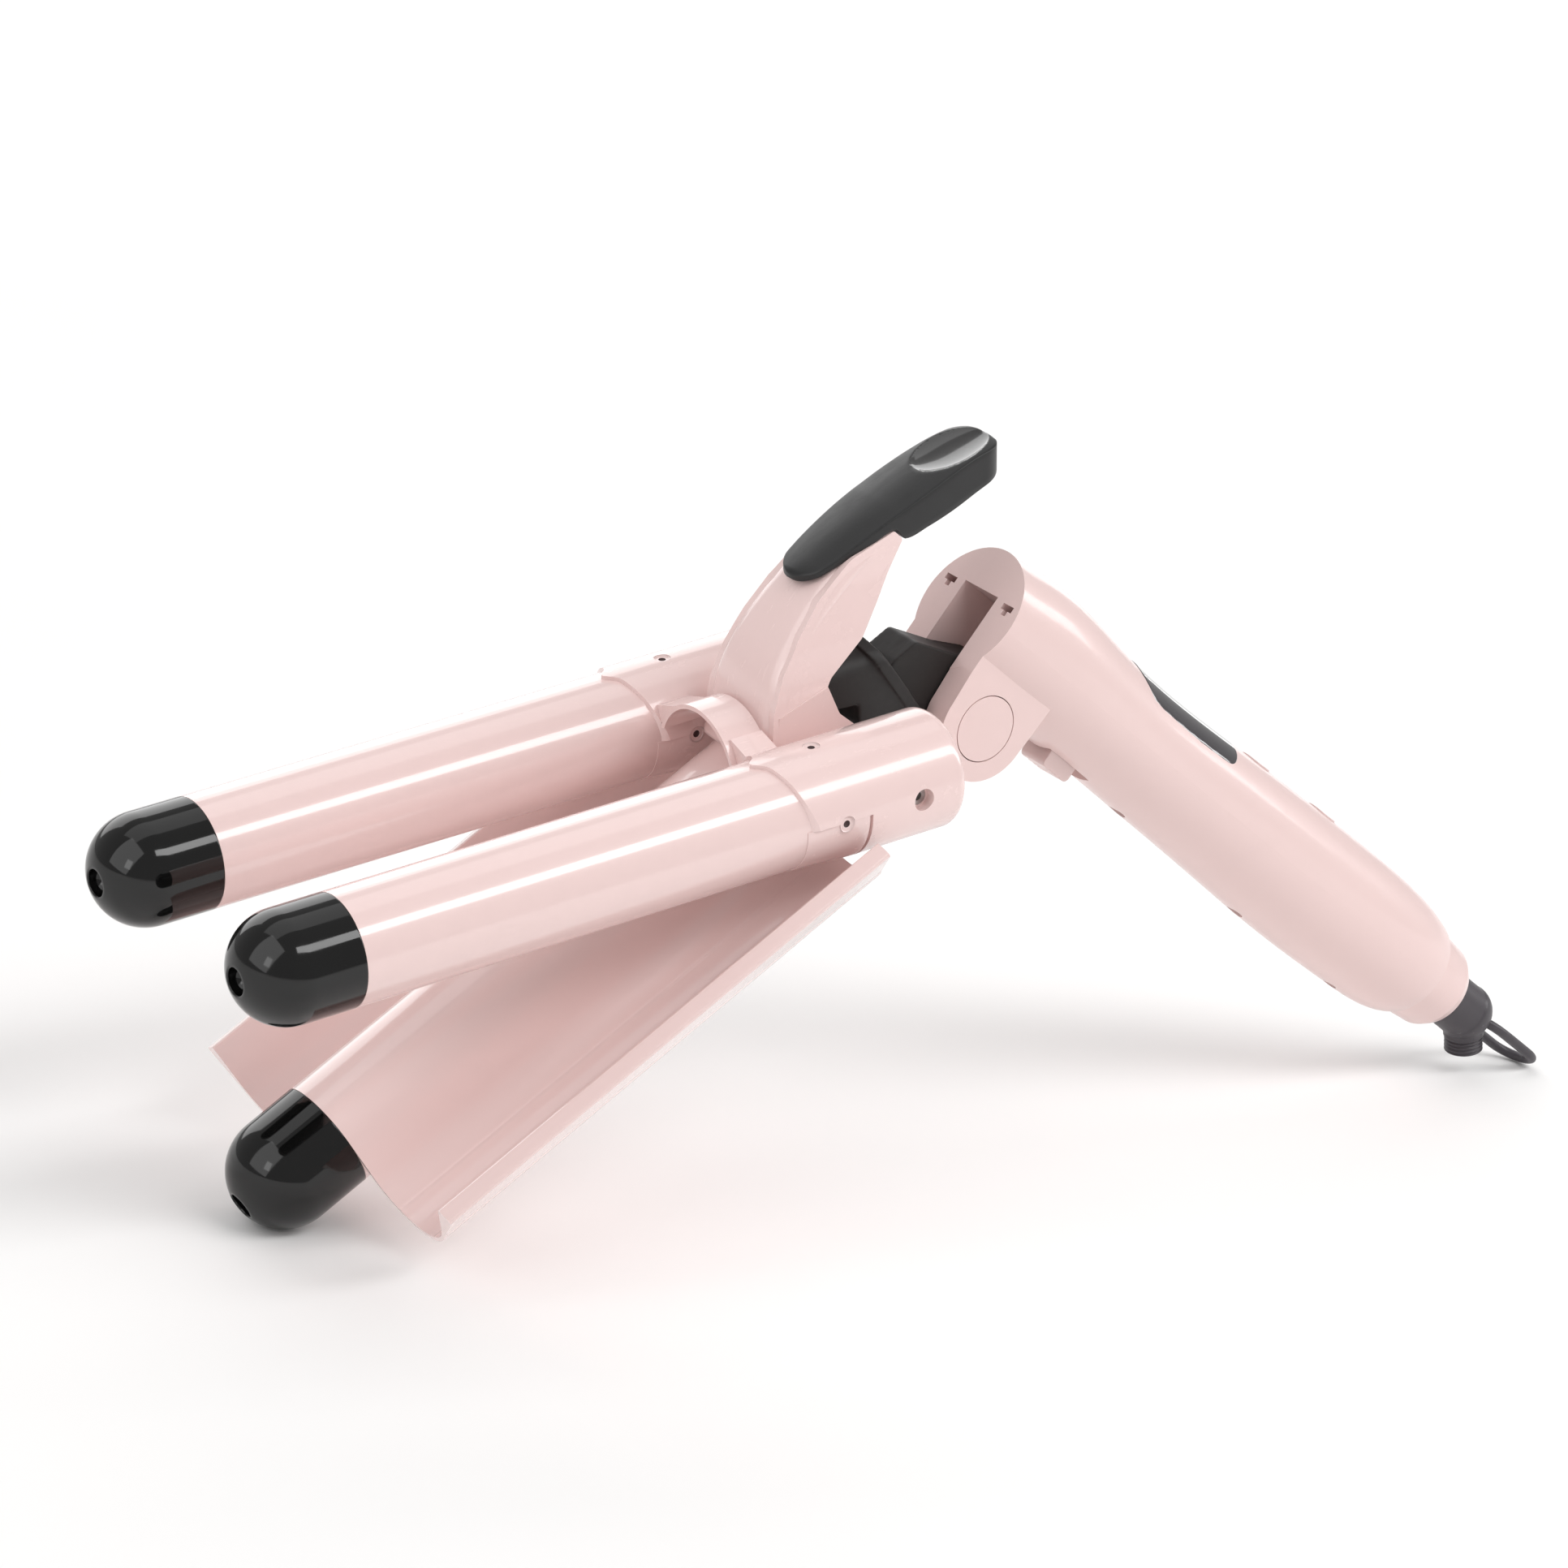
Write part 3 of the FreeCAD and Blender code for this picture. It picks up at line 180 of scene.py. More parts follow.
MATERIALS = {
    "coated_pink": moulded("coated_pink", PINK, 0.22, 1400.0, 0.00001, 0.06, 0.9, 0.03, 0.006, 0.015,
                           rough_spread=0.02),
    "housing_pink": moulded("housing_pink", PINK, 0.26, 1300.0, 0.00002, 0.05, 0.7, 0.06, 0.004, 0.012,
                            rough_spread=0.02),
    "handle_pink": moulded("handle_pink", PINK_SATIN, 0.36, 1500.0, 0.00004, 0.20, 0.40, 0.12,
                           0.006, 0.015, rough_spread=0.03),
    "cap_black": moulded("cap_black", (0.003, 0.003, 0.003), 0.08, 900.0, 0.00001, 0.04, 0.0, 0.03,
                         0.2, 0.8, (0.03, 0.03, 0.03), rough_spread=0.03),
    "pad_black": moulded("pad_black", (0.009, 0.009, 0.0095), 0.40, 1500.0, 0.00005, 0.25, 0.0, 0.1,
                         0.05, 0.8, (0.05, 0.05, 0.05)),
    "dish_black": moulded("dish_black", (0.020, 0.020, 0.020), 0.17, 900.0, 0.00001, 0.08, 0.9, 0.05,
                          0.05, 0.5, rough_spread=0.03),
    "boot_black": moulded("boot_black", (0.012, 0.0095, 0.009), 0.60, 1200.0, 0.00006, 0.35, 0.0, 0.1,
                          0.06, 0.5, (0.03, 0.026, 0.025)),
    "swivel_grey": moulded("swivel_grey", (0.050, 0.043, 0.051), 0.42, 1200.0, 0.00005, 0.30, 0.0, 0.1,
                           0.06, 0.6, (0.10, 0.09, 0.10)),
    "window_dark": moulded("window_dark", (0.030, 0.026, 0.031), 0.10, 600.0, 0.00001, 0.06, 0.8, 0.03,
                           0.06, 0.3, rough_spread=0.03),
    # dark pink for the screw sockets: painted shade in the holes, not a colour of the part
    "socket_painted_shade": moulded("socket_painted_shade", (0.06, 0.030, 0.030), 0.55, 900.0, 0.00004, 0.3, 0.0, 0.1,
                           0.10),
    "screw_steel": brushed("screw_steel", (0.50, 0.49, 0.48), 0.32),
    "spring_steel": brushed("spring_steel", (0.62, 0.62, 0.62), 0.22),
    "heater_core": brushed("heater_core", (0.72, 0.72, 0.73), 0.45),
    "bush_brass": brushed("bush_brass", (0.72, 0.53, 0.24), 0.30),
    "sensor_glass": moulded("sensor_glass", (0.75, 0.62, 0.38), 0.15, 400.0, 0.00002, 0.1, 0.6, 0.05),
    "board_green": moulded("board_green", (0.02, 0.11, 0.05), 0.40, 500.0, 0.00006, 0.3, 0.3, 0.2, 0.2),
}
SATIN_NODES = ("handle_upper_shell", "handle_lower_shell", "end_collar", "power_button", "mode_button",
               "fold_lock_slider", "cover_disc_near", "cover_disc_far")


def dress(piece, finish):
    piece.data.materials.clear()
    piece.data.materials.append(MATERIALS[finish])


for part in frame["record"]["subparts"]:
    dress(frame["nodes"][part["node"]],
          "handle_pink" if part["node"] in SATIN_NODES else part["material_slot"])


# ---- mesh tools ------------------------------------------------------------------------------
def add_piece(name, mesh, body, finish, replaces=()):
    piece = bpy.data.objects.new(name, mesh)
    bpy.context.scene.collection.objects.link(piece)
    for polygon in mesh.polygons:
        polygon.use_smooth = True
    dress(piece, finish)
    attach(piece, body)
    if replaces:
        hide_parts(*replaces)
    return piece


def build_mesh(name, vertices, faces, place):
    mesh = bpy.data.meshes.new(name)
    mesh.from_pydata([place @ Vector(v) for v in vertices], [], faces)
    work = bmesh.new()
    work.from_mesh(mesh)
    bmesh.ops.remove_doubles(work, verts=work.verts, dist=1e-7)
    bmesh.ops.recalc_face_normals(work, faces=work.faces)
    work.to_mesh(mesh)
    work.free()
    return mesh


def lathe(name, profile, place, steps=128, closed=False):
    """Turns an (x, radius) outline about X. An open outline starts and ends on the axis."""
    vertices, faces = [], []
    for x, radius in profile:
        for i in range(steps):
            angle = 2 * math.pi * i / steps
            vertices.append((x, radius * math.cos(angle), radius * math.sin(angle)))
    rows = len(profile)
    for row in range(rows if closed else rows - 1):
        for i in range(steps):
            j = (i + 1) % steps
            this, following = row * steps, (row + 1) % rows * steps
            faces.append((this + i, this + j, following + j, following + i))
    return build_mesh(name, vertices, faces, place)


def loft(name, loops, place, capped=True):
    """Skins closed loops that all have the same number of points."""
    count = len(loops[0])
    vertices = [point for loop in loops for point in loop]
    faces = []
    for row in range(len(loops) - 1):
        for i in range(count):
            j = (i + 1) % count
            faces.append((row * count + i, row * count + j, (row + 1) * count + j, (row + 1) * count + i))
    if capped:
        faces.append(tuple(range(count)))
        faces.append(tuple(range(len(vertices) - count, len(vertices))))
    return build_mesh(name, vertices, faces, place)


def through(table, u):
    """Smooth curve through the rows of a table, read at u in its first column."""
    keys = [row[0] for row in table]
    u = min(max(u, keys[0]), keys[-1])
    at = max(i for i, key in enumerate(keys) if key <= u or i == 0)
    at = min(at, len(table) - 2)
    before, start = table[max(at - 1, 0)], table[at]
    end, after = table[at + 1], table[min(at + 2, len(table) - 1)]
    span = end[0] - start[0]
    t = (u - start[0]) / span
    values = []
    for p0, p1, p2, p3 in zip(before[1:], start[1:], end[1:], after[1:]):
        slope_in = (p2 - p0) / (end[0] - before[0]) * span
        slope_out = (p3 - p1) / (after[0] - start[0]) * span
        values.append((2 * t ** 3 - 3 * t * t + 1) * p1 + (t ** 3 - 2 * t * t + t) * slope_in
                      + (3 * t * t - 2 * t ** 3) * p2 + (t ** 3 - t * t) * slope_out)
    return values


def tube(name, path, radius, place, steps=24, flat=1.0):
    """A round bar along a path of points, with closed rounded ends."""
    points = [Vector(p) for p in path]
    loops = []
    for i, point in enumerate(points):
        ahead = (points[min(i + 1, len(points) - 1)] - points[max(i - 1, 0)]).normalized()
        across = ahead.cross(Vector((0.0, 0.0, 1.0))).normalized()
        above = across.cross(ahead)
        loops.append([point + across * radius * math.cos(2 * math.pi * k / steps)
                      + above * radius * flat * math.sin(2 * math.pi * k / steps) for k in range(steps)])
    return loft(name, loops, place)


def softened(name, node, voxel, rounds, body, finish):
    """A moulded version of a CAD node: the same shape with every edge eased."""
    piece = bpy.data.objects.new(name, frame["nodes"][node].data.copy())
    bpy.context.scene.collection.objects.link(piece)
    remesh = piece.modifiers.new("remesh", "REMESH")
    remesh.mode = "VOXEL"
    remesh.voxel_size = voxel * MM
    ease = piece.modifiers.new("ease", "SMOOTH")
    ease.factor = 0.5
    ease.iterations = rounds
    bpy.context.view_layer.update()
    mesh = bpy.data.meshes.new_from_object(piece.evaluated_get(bpy.context.evaluated_depsgraph_get()))
    mesh.name = name
    bpy.data.objects.remove(piece)
    return add_piece(name, mesh, body, finish, (node,))


# ---- tip caps --------------------------------------------------------------------------------
BARREL_R = 12.5
BARREL_PITCH = 28.0
CAP_BACK = 12.1
CAP_HOLE_R = 3.0
CAP_HOLE_FLOOR = -9.0
CAP_EASE = 0.3


def cap_outline():
    """Dome with an eased screw hole in its middle and a fine chamfer at the barrel."""
    start = math.asin((CAP_HOLE_R + CAP_EASE) / BARREL_R)
    lip_x = -BARREL_R * math.cos(start)
    outline = [
        (CAP_HOLE_FLOOR, 0.0),
        (CAP_HOLE_FLOOR, CAP_HOLE_R),
        (lip_x + 3 * CAP_EASE, CAP_HOLE_R),
        (lip_x + CAP_EASE, CAP_HOLE_R + 0.02),
        (lip_x + 0.3 * CAP_EASE, CAP_HOLE_R + 0.3 * CAP_EASE),
    ]
    arc_steps = 28
    for i in range(arc_steps + 1):
        angle = start + (math.pi / 2 - start) * i / arc_steps
        outline.append((-BARREL_R * math.cos(angle), BARREL_R * math.sin(angle)))
    outline += [(x, BARREL_R) for x in (3.0, 6.0, 9.0, CAP_BACK - 0.35, CAP_BACK - 0.2)]
    outline += [(CAP_BACK - 0.08, BARREL_R - 0.05), (CAP_BACK, BARREL_R - 0.2), (CAP_BACK, 0.0)]
    return outline


def make_caps():
    for name, place, body in (("near", HEAD @ Matrix.Translation((0, -BARREL_PITCH, 0)), "head"),
                              ("far", HEAD @ Matrix.Translation((0, BARREL_PITCH, 0)), "head"),
                              ("jaw", JAW, "jaw")):
        mesh = lathe("cap_" + name, cap_outline(), place)
        add_piece("domed_cap_" + name, mesh, body, "cap_black", ("tip_cap_" + name,))


# ---- lever -----------------------------------------------------------------------------------
# share of the height, front x and z, rear x and z, half width
LEVER_STATIONS = (
    (0.00, 132.6, 3.0, 155.0, 3.4, 12.3),
    (0.14, 132.9, 10.0, 151.2, 9.0, 12.3),
    (0.28, 134.0, 16.4, 148.0, 15.6, 12.0),
    (0.42, 136.6, 22.6, 151.4, 20.6, 11.3),
    (0.58, 140.9, 28.8, 157.4, 26.2, 10.5),
    (0.74, 147.0, 35.4, 162.3, 32.0, 9.7),
    (0.88, 156.2, 42.6, 166.2, 38.6, 9.0),
    (1.00, 167.6, 46.4, 169.8, 44.4, 8.3),
)
LEVER_EASE = 3.2           # rounding of the front edges
LEVER_REAR_EASE = 0.7
LEVER_CROWN = 1.1          # how far the front face bulges
LEVER_SCOOP = 0.9          # how far the sides are hollowed
LEVER_WALL = 1.4
LEVER_HOLLOW = 0.62        # depth of the open back, as a share of the lever's thickness
LEVER_FLARE = 2.2          # spread of the foot where it meets the jaw
LEVER_FOOT = 0.22          # share of the height over which the foot spreads
LEVER_CLOSING = 0.12       # share of the height over which the hollow closes at the top
LEVER_EASE_SHARE = 0.32    # most of the thickness that the front rounding may take
LEVER_FULL_DEPTH = 14.0    # thickness at which the sides reach their full scoop
LEVER_STEPS = 72


def lever_loop(u):
    """One section, from the front edge to the rear edge; the back is hollowed between its walls."""
    fx, fz, rx, rz, half = through(LEVER_STATIONS, u)
    foot = max(0.0, 1.0 - u / LEVER_FOOT) ** 2
    front = Vector((fx - LEVER_FLARE * foot, 0.0, fz))
    rear = Vector((rx, 0.0, rz))
    depth = (rear - front).length
    inward = (rear - front).normalized()
    ease = min(LEVER_EASE, depth * LEVER_EASE_SHARE)
    side = []
    face_steps, corner_steps, flank_steps, rear_steps = 9, 8, 10, 4
    for i in range(face_steps):
        across = (half - ease) * i / face_steps
        side.append((across, -LEVER_CROWN * (1 - (across / half) ** 2)))
    for i in range(corner_steps + 1):
        turn = math.pi / 2 * i / corner_steps
        across = half - ease + ease * math.sin(turn)
        back = ease - ease * math.cos(turn)
        side.append((across, back - LEVER_CROWN * (1 - (across / half) ** 2) * (1 - i / corner_steps)))
    for i in range(1, flank_steps):
        share = i / flank_steps
        back = ease + (depth - ease - LEVER_REAR_EASE) * share
        scoop = LEVER_SCOOP * math.sin(math.pi * share) * min(1.0, depth / LEVER_FULL_DEPTH)
        side.append((half - scoop, back))
    for i in range(rear_steps + 1):
        turn = math.pi / 2 * i / rear_steps
        side.append((half - LEVER_REAR_EASE + LEVER_REAR_EASE * math.cos(turn),
                     depth - LEVER_REAR_EASE + LEVER_REAR_EASE * math.sin(turn)))
    rim = half - LEVER_WALL
    closing = min(1.0, max(0.0, (1.0 - u) / LEVER_CLOSING))
    opening = min(1.0, u / 0.1 + 0.2)
    hollow = depth * (1.0 - LEVER_HOLLOW * closing * opening)
    side += [
        (rim, depth),
        (rim - 0.15, depth - 0.2),
        (rim - 0.3, (depth + hollow) / 2),
        (rim - 0.5, hollow + 0.6),
        (rim - 1.2, hollow),
        (rim * 0.5, hollow - 0.2),
        (rim * 0.2, hollow - 0.25),
    ]
    half_loop = [front + inward * back + Vector((0.0, across, 0.0)) for across, back in side]
    mirrored = [Vector((p.x, -p.y, p.z)) for p in reversed(half_loop[1:])]
    return half_loop + mirrored


def make_lever():
    loops = [lever_loop(i / LEVER_STEPS) for i in range(LEVER_STEPS + 1)]
    mesh = loft("lever_shell", loops, HEAD)
    add_piece("lever_shell", mesh, "jaw", "housing_pink")


# ---- wave plate --------------------------------------------------------------------------------
PLATE_START = 12.1
PLATE_END = 136.5
PLATE_T = 1.0
TROUGH_R = 13.8
LIP = (45.0, 2.4)
HEM_WIDTH = 4.2
HEM_EASE = 1.2
HEM_FOOT = math.radians(-37.0)
CREASES = (math.radians(-122.0), math.radians(-68.0))   # pressed lines along the trough floor
CREASE_RISE = 0.13
CREASE_WIDTH = math.radians(1.3)
END_BAND = 0.25            # narrow rows that keep the cut ends crisp
CRISP_ANGLE = math.radians(35.0)


def on_circle(middle_y, radius, angle):
    return (middle_y + radius * math.cos(angle), radius * math.sin(angle))


def between(start, end, steps):
    return [(start[0] + (end[0] - start[0]) * i / steps, start[1] + (end[1] - start[1]) * i / steps)
            for i in range(1, steps)]


def arc_points(middle_y, radius, start, end, steps):
    return [on_circle(middle_y, radius, start + (end - start) * i / steps) for i in range(steps + 1)]


def plate_outline():
    """Section through one half of the sheet and its folded hem, from the middle out and back."""
    meet = math.acos((BARREL_R + TROUGH_R) / BARREL_PITCH)
    leave = math.atan2(LIP[1], LIP[0] - BARREL_PITCH) - math.acos(
        TROUGH_R / math.hypot(LIP[0] - BARREL_PITCH, LIP[1]))
    top = arc_points(0.0, BARREL_R, math.pi / 2, meet, 36)
    floor_steps = 150
    floor_points = []
    for i in range(floor_steps + 1):
        angle = meet - math.pi + (leave + math.pi - meet) * i / floor_steps
        rise = sum(CREASE_RISE * math.exp(-((angle - crease) / CREASE_WIDTH) ** 2) for crease in CREASES)
        floor_points.append(on_circle(BARREL_PITCH, TROUGH_R - rise, angle))
    top += between(top[-1], floor_points[0], 4) + floor_points
    out = Vector((math.cos(leave), math.sin(leave)))
    corner = Vector(LIP) + out * HEM_WIDTH
    foot = Vector(on_circle(BARREL_PITCH, TROUGH_R + PLATE_T, HEM_FOOT))
    down = (foot - corner).normalized()
    bead = Vector(LIP) + out * 0.35
    top += between(top[-1], LIP, 8) + [(LIP[0] - 0.1, LIP[1] - 0.25), tuple(bead)]
    start = corner - out * HEM_EASE
    end = corner + down * HEM_EASE
    bend_steps = 10
    bend = []
    for i in range(bend_steps + 1):
        t = i / bend_steps
        bend.append(tuple(start * (1 - t) ** 2 + corner * 2 * t * (1 - t) + end * t * t))
    top += between(tuple(bead), bend[0], 6) + bend + between(bend[-1], tuple(foot), 10) + [tuple(foot)]
    under = arc_points(BARREL_PITCH, TROUGH_R + PLATE_T, HEM_FOOT - 0.05, meet - math.pi, 50)
    inner = arc_points(0.0, BARREL_R - PLATE_T, meet, math.pi / 2, 36)
    return top, under + between(under[-1], inner[0], 4) + inner


def make_plate():
    top, under = plate_outline()
    half = top + under
    section = half + [(-y, z) for y, z in reversed(half[1:-1])]
    work = bmesh.new()
    ends = (PLATE_START, PLATE_START + END_BAND, PLATE_END - END_BAND, PLATE_END)
    loops = [[work.verts.new(JAW @ Vector((x, y, z))) for y, z in section] for x in ends]
    total = len(section)
    for row in range(len(ends) - 1):
        for i in range(total):
            j = (i + 1) % total
            work.faces.new((loops[row][i], loops[row][j], loops[row + 1][j], loops[row + 1][i]))
    for loop in (loops[0], loops[-1]):
        work.faces.new(loop)
    bmesh.ops.triangulate(work, faces=[f for f in work.faces if len(f.verts) > 4])
    bmesh.ops.recalc_face_normals(work, faces=work.faces)
    for edge in work.edges:
        edge.smooth = len(edge.link_faces) == 2 and edge.calc_face_angle() < CRISP_ANGLE
    mesh = bpy.data.meshes.new("pressed_plate")
    work.to_mesh(mesh)
    work.free()
    add_piece("pressed_plate", mesh, "jaw", "coated_pink", ("wave_plate",))


# ---- thumb pad -------------------------------------------------------------------------------
# x, height of the underside, height of the top edge, half width
PAD_STATIONS = (
    (146.2, 38.3, 39.9, 5.2),
    (151.7, 40.9, 42.5, 6.9),
    (157.0, 43.2, 45.2, 7.8),
    (163.0, 45.5, 48.1, 8.4),
    (168.2, 47.3, 50.4, 8.7),
    (170.8, 44.6, 51.4, 8.8),
    (177.0, 45.9, 53.9, 8.8),
    (184.0, 47.9, 56.5, 8.5),
    (191.0, 50.4, 58.6, 8.0),
    (199.4, 53.2, 59.9, 7.4),
)
PAD_CROWN = 1.0
PAD_NOSE = 4.0             # length over which the front comes to a rounded point
PAD_TAIL = 6.5             # length of the rounded back end
PAD_EASE = 0.3
PAD_STEPS = 150
PAD_BUNCHING = 0.85        # how strongly sections gather towards both ends
PAD_FULL_HALF = 8.0        # half width at which the crown is at its full height
TAIL_ROUNDNESS = 2.6
TAIL_THINNING = 1.6        # length over which the back end thins out
NOSE_THINNING = 1.0
LEAST_WIDTH = 0.02
DISH_MIDDLE = 189.0
DISH_LONG = 9.4
DISH_WIDE = 6.9
DISH_DEPTH = 2.1


def dish_drop(x, y):
    """Depth of the thumb dish below the top of the pad."""
    reach = ((x - DISH_MIDDLE) / DISH_LONG) ** 2 + (y / DISH_WIDE) ** 2
    return DISH_DEPTH * (1.0 - reach) ** 0.75 if reach < 1.0 else 0.0


def pad_loop(x, first, last):
    """One section; it closes in to a rounded nose and a rounded back end."""
    low, top, half = through(PAD_STATIONS, x)
    nose = min(1.0, (x - first) / PAD_NOSE)
    tail = min(1.0, (last - x) / PAD_TAIL)
    nose_round = math.sqrt(max(0.0, 1 - (1 - nose) ** 2))
    tail_round = math.sqrt(max(0.0, 1 - (1 - tail) ** TAIL_ROUNDNESS))
    half *= nose_round * tail_round * (1.0 - LEAST_WIDTH) + LEAST_WIDTH
    middle = (low + top) / 2
    squeeze = math.sqrt(max(0.0, 1 - (1 - min(1.0, (last - x) / TAIL_THINNING)) ** 2)) * 0.92 + 0.08
    squeeze *= math.sqrt(max(0.0, 1 - (1 - min(1.0, (x - first) / NOSE_THINNING)) ** 2)) * 0.6 + 0.4
    low, top = middle + (low - middle) * squeeze, middle + (top - middle) * squeeze
    ease = min(PAD_EASE, half * 0.4, (top - low) * 0.3)
    top_steps, corner_steps, flank_steps = 40, 5, 6
    loop = []
    for i in range(top_steps + 1):
        y = (half - ease) * (2 * i / top_steps - 1)
        crown = PAD_CROWN * squeeze * (1 - (y / half) ** 2) * min(1.0, half / PAD_FULL_HALF)
        loop.append(Vector((x, y, top + crown - dish_drop(x, y))))
    for i in range(1, corner_steps):
        turn = math.pi / 2 * i / corner_steps
        loop.append(Vector((x, half - ease + ease * math.sin(turn), top - ease + ease * math.cos(turn))))
    for i in range(flank_steps + 1):
        loop.append(Vector((x, half, top - ease + (low + 2 * ease - top) * i / flank_steps)))
    loop.append(Vector((x, half - ease * 0.3, low + ease * 0.3)))
    under_steps = 8
    for i in range(under_steps + 1):
        loop.append(Vector((x, (half - ease) * (1 - 2 * i / under_steps), low)))
    loop.append(Vector((x, -half + ease * 0.3, low + ease * 0.3)))
    for i in range(flank_steps, -1, -1):
        loop.append(Vector((x, -half, top - ease + (low + 2 * ease - top) * i / flank_steps)))
    for i in range(corner_steps - 1, 0, -1):
        turn = math.pi / 2 * i / corner_steps
        loop.append(Vector((x, -half + ease - ease * math.sin(turn), top - ease + ease * math.cos(turn))))
    return loop


def make_pad():
    first, last = PAD_STATIONS[0][0], PAD_STATIONS[-1][0]
    loops = []
    for i in range(PAD_STEPS + 1):
        even = i / PAD_STEPS
        bunched = even - math.sin(2 * math.pi * even) / (2 * math.pi) * PAD_BUNCHING
        loops.append(pad_loop(first + (last - first) * bunched, first, last))
    mesh = loft("thumb_pad", loops, HEAD)
    pad = add_piece("thumb_pad", mesh, "jaw", "pad_black", ("lever_pad",))
    pad.data.materials.append(MATERIALS["dish_black"])
    back = HEAD.inverted()
    for polygon in pad.data.polygons:
        middle = back @ polygon.center
        reach = ((middle.x - DISH_MIDDLE) / DISH_LONG) ** 2 + (middle.y / DISH_WIDE) ** 2
        if reach < 1.0 and polygon.normal.z > 0.2:
            polygon.material_index = 1


# ---- hinge, latch and swivel -------------------------------------------------------------------
SWIVEL = (Matrix.Translation(Vector(JOINTS["cord_swivel_turn"]["pos_m"]))
          @ Matrix.Rotation(-slope(handle_back), 4, "Y") @ Matrix.Scale(MM, 4))
STUB_TURN = math.radians(44.0)
STUB_START = 6.2
STUB_END = 10.0
STUB_R = 4.45
BORE_R = 3.3
RIB_COUNT = 4
LOOP_HALF = 5.6
LOOP_START = 4.0
LOOP_TIP = 26.85
LOOP_ROLL = math.radians(-11.0)
LOOP_WIRE_R = 1.4
LOOP_FLATNESS = 0.82
RIB_RISE = 0.17


def make_collar():
    """Ribbed rubber outlet that grips the cord."""
    steps = 44
    outer = []
    for i in range(steps + 1):
        share = i / steps
        rib = math.cos(2 * math.pi * RIB_COUNT * share)
        height = STUB_START + (STUB_END - STUB_START) * share
        outer.append((height, STUB_R + RIB_RISE * max(-0.9, rib * 1.3)))
    profile = outer + [(STUB_END, BORE_R + 0.3), (STUB_END - 0.3, BORE_R), (STUB_START, BORE_R)]
    place = SWIVEL @ Matrix.Rotation(STUB_TURN, 4, "Y")
    mesh = lathe("ribbed_collar", profile, place, 96, True)
    add_piece("ribbed_collar", mesh, "swivel", "swivel_grey", ("cord_collar",))


def make_loop():
    """Hanging ring: a flattened bar that leaves the swivel, runs back and turns round."""
    bend = LOOP_TIP - LOOP_HALF
    side = [(0.0, LOOP_START, 3.6), (0.25, LOOP_START + 3.0, 5.0), (0.5, LOOP_START + 6.5, LOOP_HALF),
            (1.0, bend, LOOP_HALF)]
    near = [through(side, i / 20) for i in range(20)]
    arc_steps = 28
    turns = [math.pi * i / arc_steps for i in range(arc_steps + 1)]
    arc = [(bend + LOOP_HALF * math.sin(turn), LOOP_HALF * math.cos(turn)) for turn in turns]
    outline = near + arc + [(d, -y) for d, y in reversed(near)]
    path = [(d, -y, 0.0) for d, y in outline]
    place = SWIVEL @ Matrix.Rotation(LOOP_ROLL, 4, "X")
    mesh = tube("hanging_ring", path, LOOP_WIRE_R, place, 28, LOOP_FLATNESS)
    add_piece("hanging_ring", mesh, "swivel", "swivel_grey", ("hang_loop",))


# ---- display lens --------------------------------------------------------------------------------
# distance along the handle, half width of the lens
LENS_STATIONS = ((36.0, 5.0), (37.0, 6.6), (39.5, 9.2), (41.0, 10.0), (50.0, 10.2), (71.0, 10.2),
                 (73.2, 9.8), (74.6, 8.7), (75.4, 7.0), (75.6, 5.6))
LENS_RISE = 0.14
LENS_SINK = 0.30
LENS_LOOK = 60.0           # height above the fold pin from which the surface is felt for


def make_lens():
    """Smoked lens that follows the crown of the handle."""
    under = HANDLE.inverted()
    vertices, faces = [], []
    for node in ("handle_upper_shell", "display_window"):
        item = frame["nodes"][node]
        start = len(vertices)
        vertices += [under @ (item.matrix_world @ v.co) for v in item.data.vertices]
        faces += [[start + i for i in polygon.vertices] for polygon in item.data.polygons]
    skin = BVHTree.FromPolygons(vertices, faces)
    along_steps, across_steps = 60, 36
    first, last = LENS_STATIONS[0][0], LENS_STATIONS[-1][0]
    loops = []
    for i in range(along_steps + 1):
        share = i / along_steps
        d = first + (last - first) * (share - math.sin(2 * math.pi * share) / (2 * math.pi) * 0.9)
        half = through(LENS_STATIONS, d)[0]
        edge = 1.0 if 0 < i < along_steps else 0.0
        upper, lower = [], []
        for k in range(across_steps + 1):
            y = half * math.sin(math.pi / 2 * (2 * k / across_steps - 1))
            hit = skin.ray_cast(Vector((d, y, LENS_LOOK)), Vector((0, 0, -1)))[0]
            rim = edge * min(1.0, (half - abs(y)) / 0.35)
            upper.append(Vector((d, y, hit.z - 0.05 + (LENS_RISE + 0.05) * rim)))
            lower.append(Vector((d, y, hit.z - LENS_SINK)))
        loops.append(upper + lower[::-1])
    mesh = loft("smoked_lens", loops, HANDLE)
    add_piece("smoked_lens", mesh, "handle", "window_dark", ("display_window",))


# ---- screws that sit in cups ---------------------------------------------------------------------
SCREW_X = 131.8
SLEEVE_R = 13.4
CUP_R = 1.85
SEAT_LEVEL = -0.1          # height of the side screws
SOCKET_SHARE = 0.43        # share of the seat's radius that the socket's painted shade takes
# height, share of the radius
CUP_OUTLINE = ((-0.75, 0.0), (-0.75, 0.40), (-0.45, 0.44), (-0.40, 0.5), (-0.52, 0.72), (-0.42, 0.93),
               (-0.10, 1.0), (-0.85, 1.0), (-0.85, 0.0))


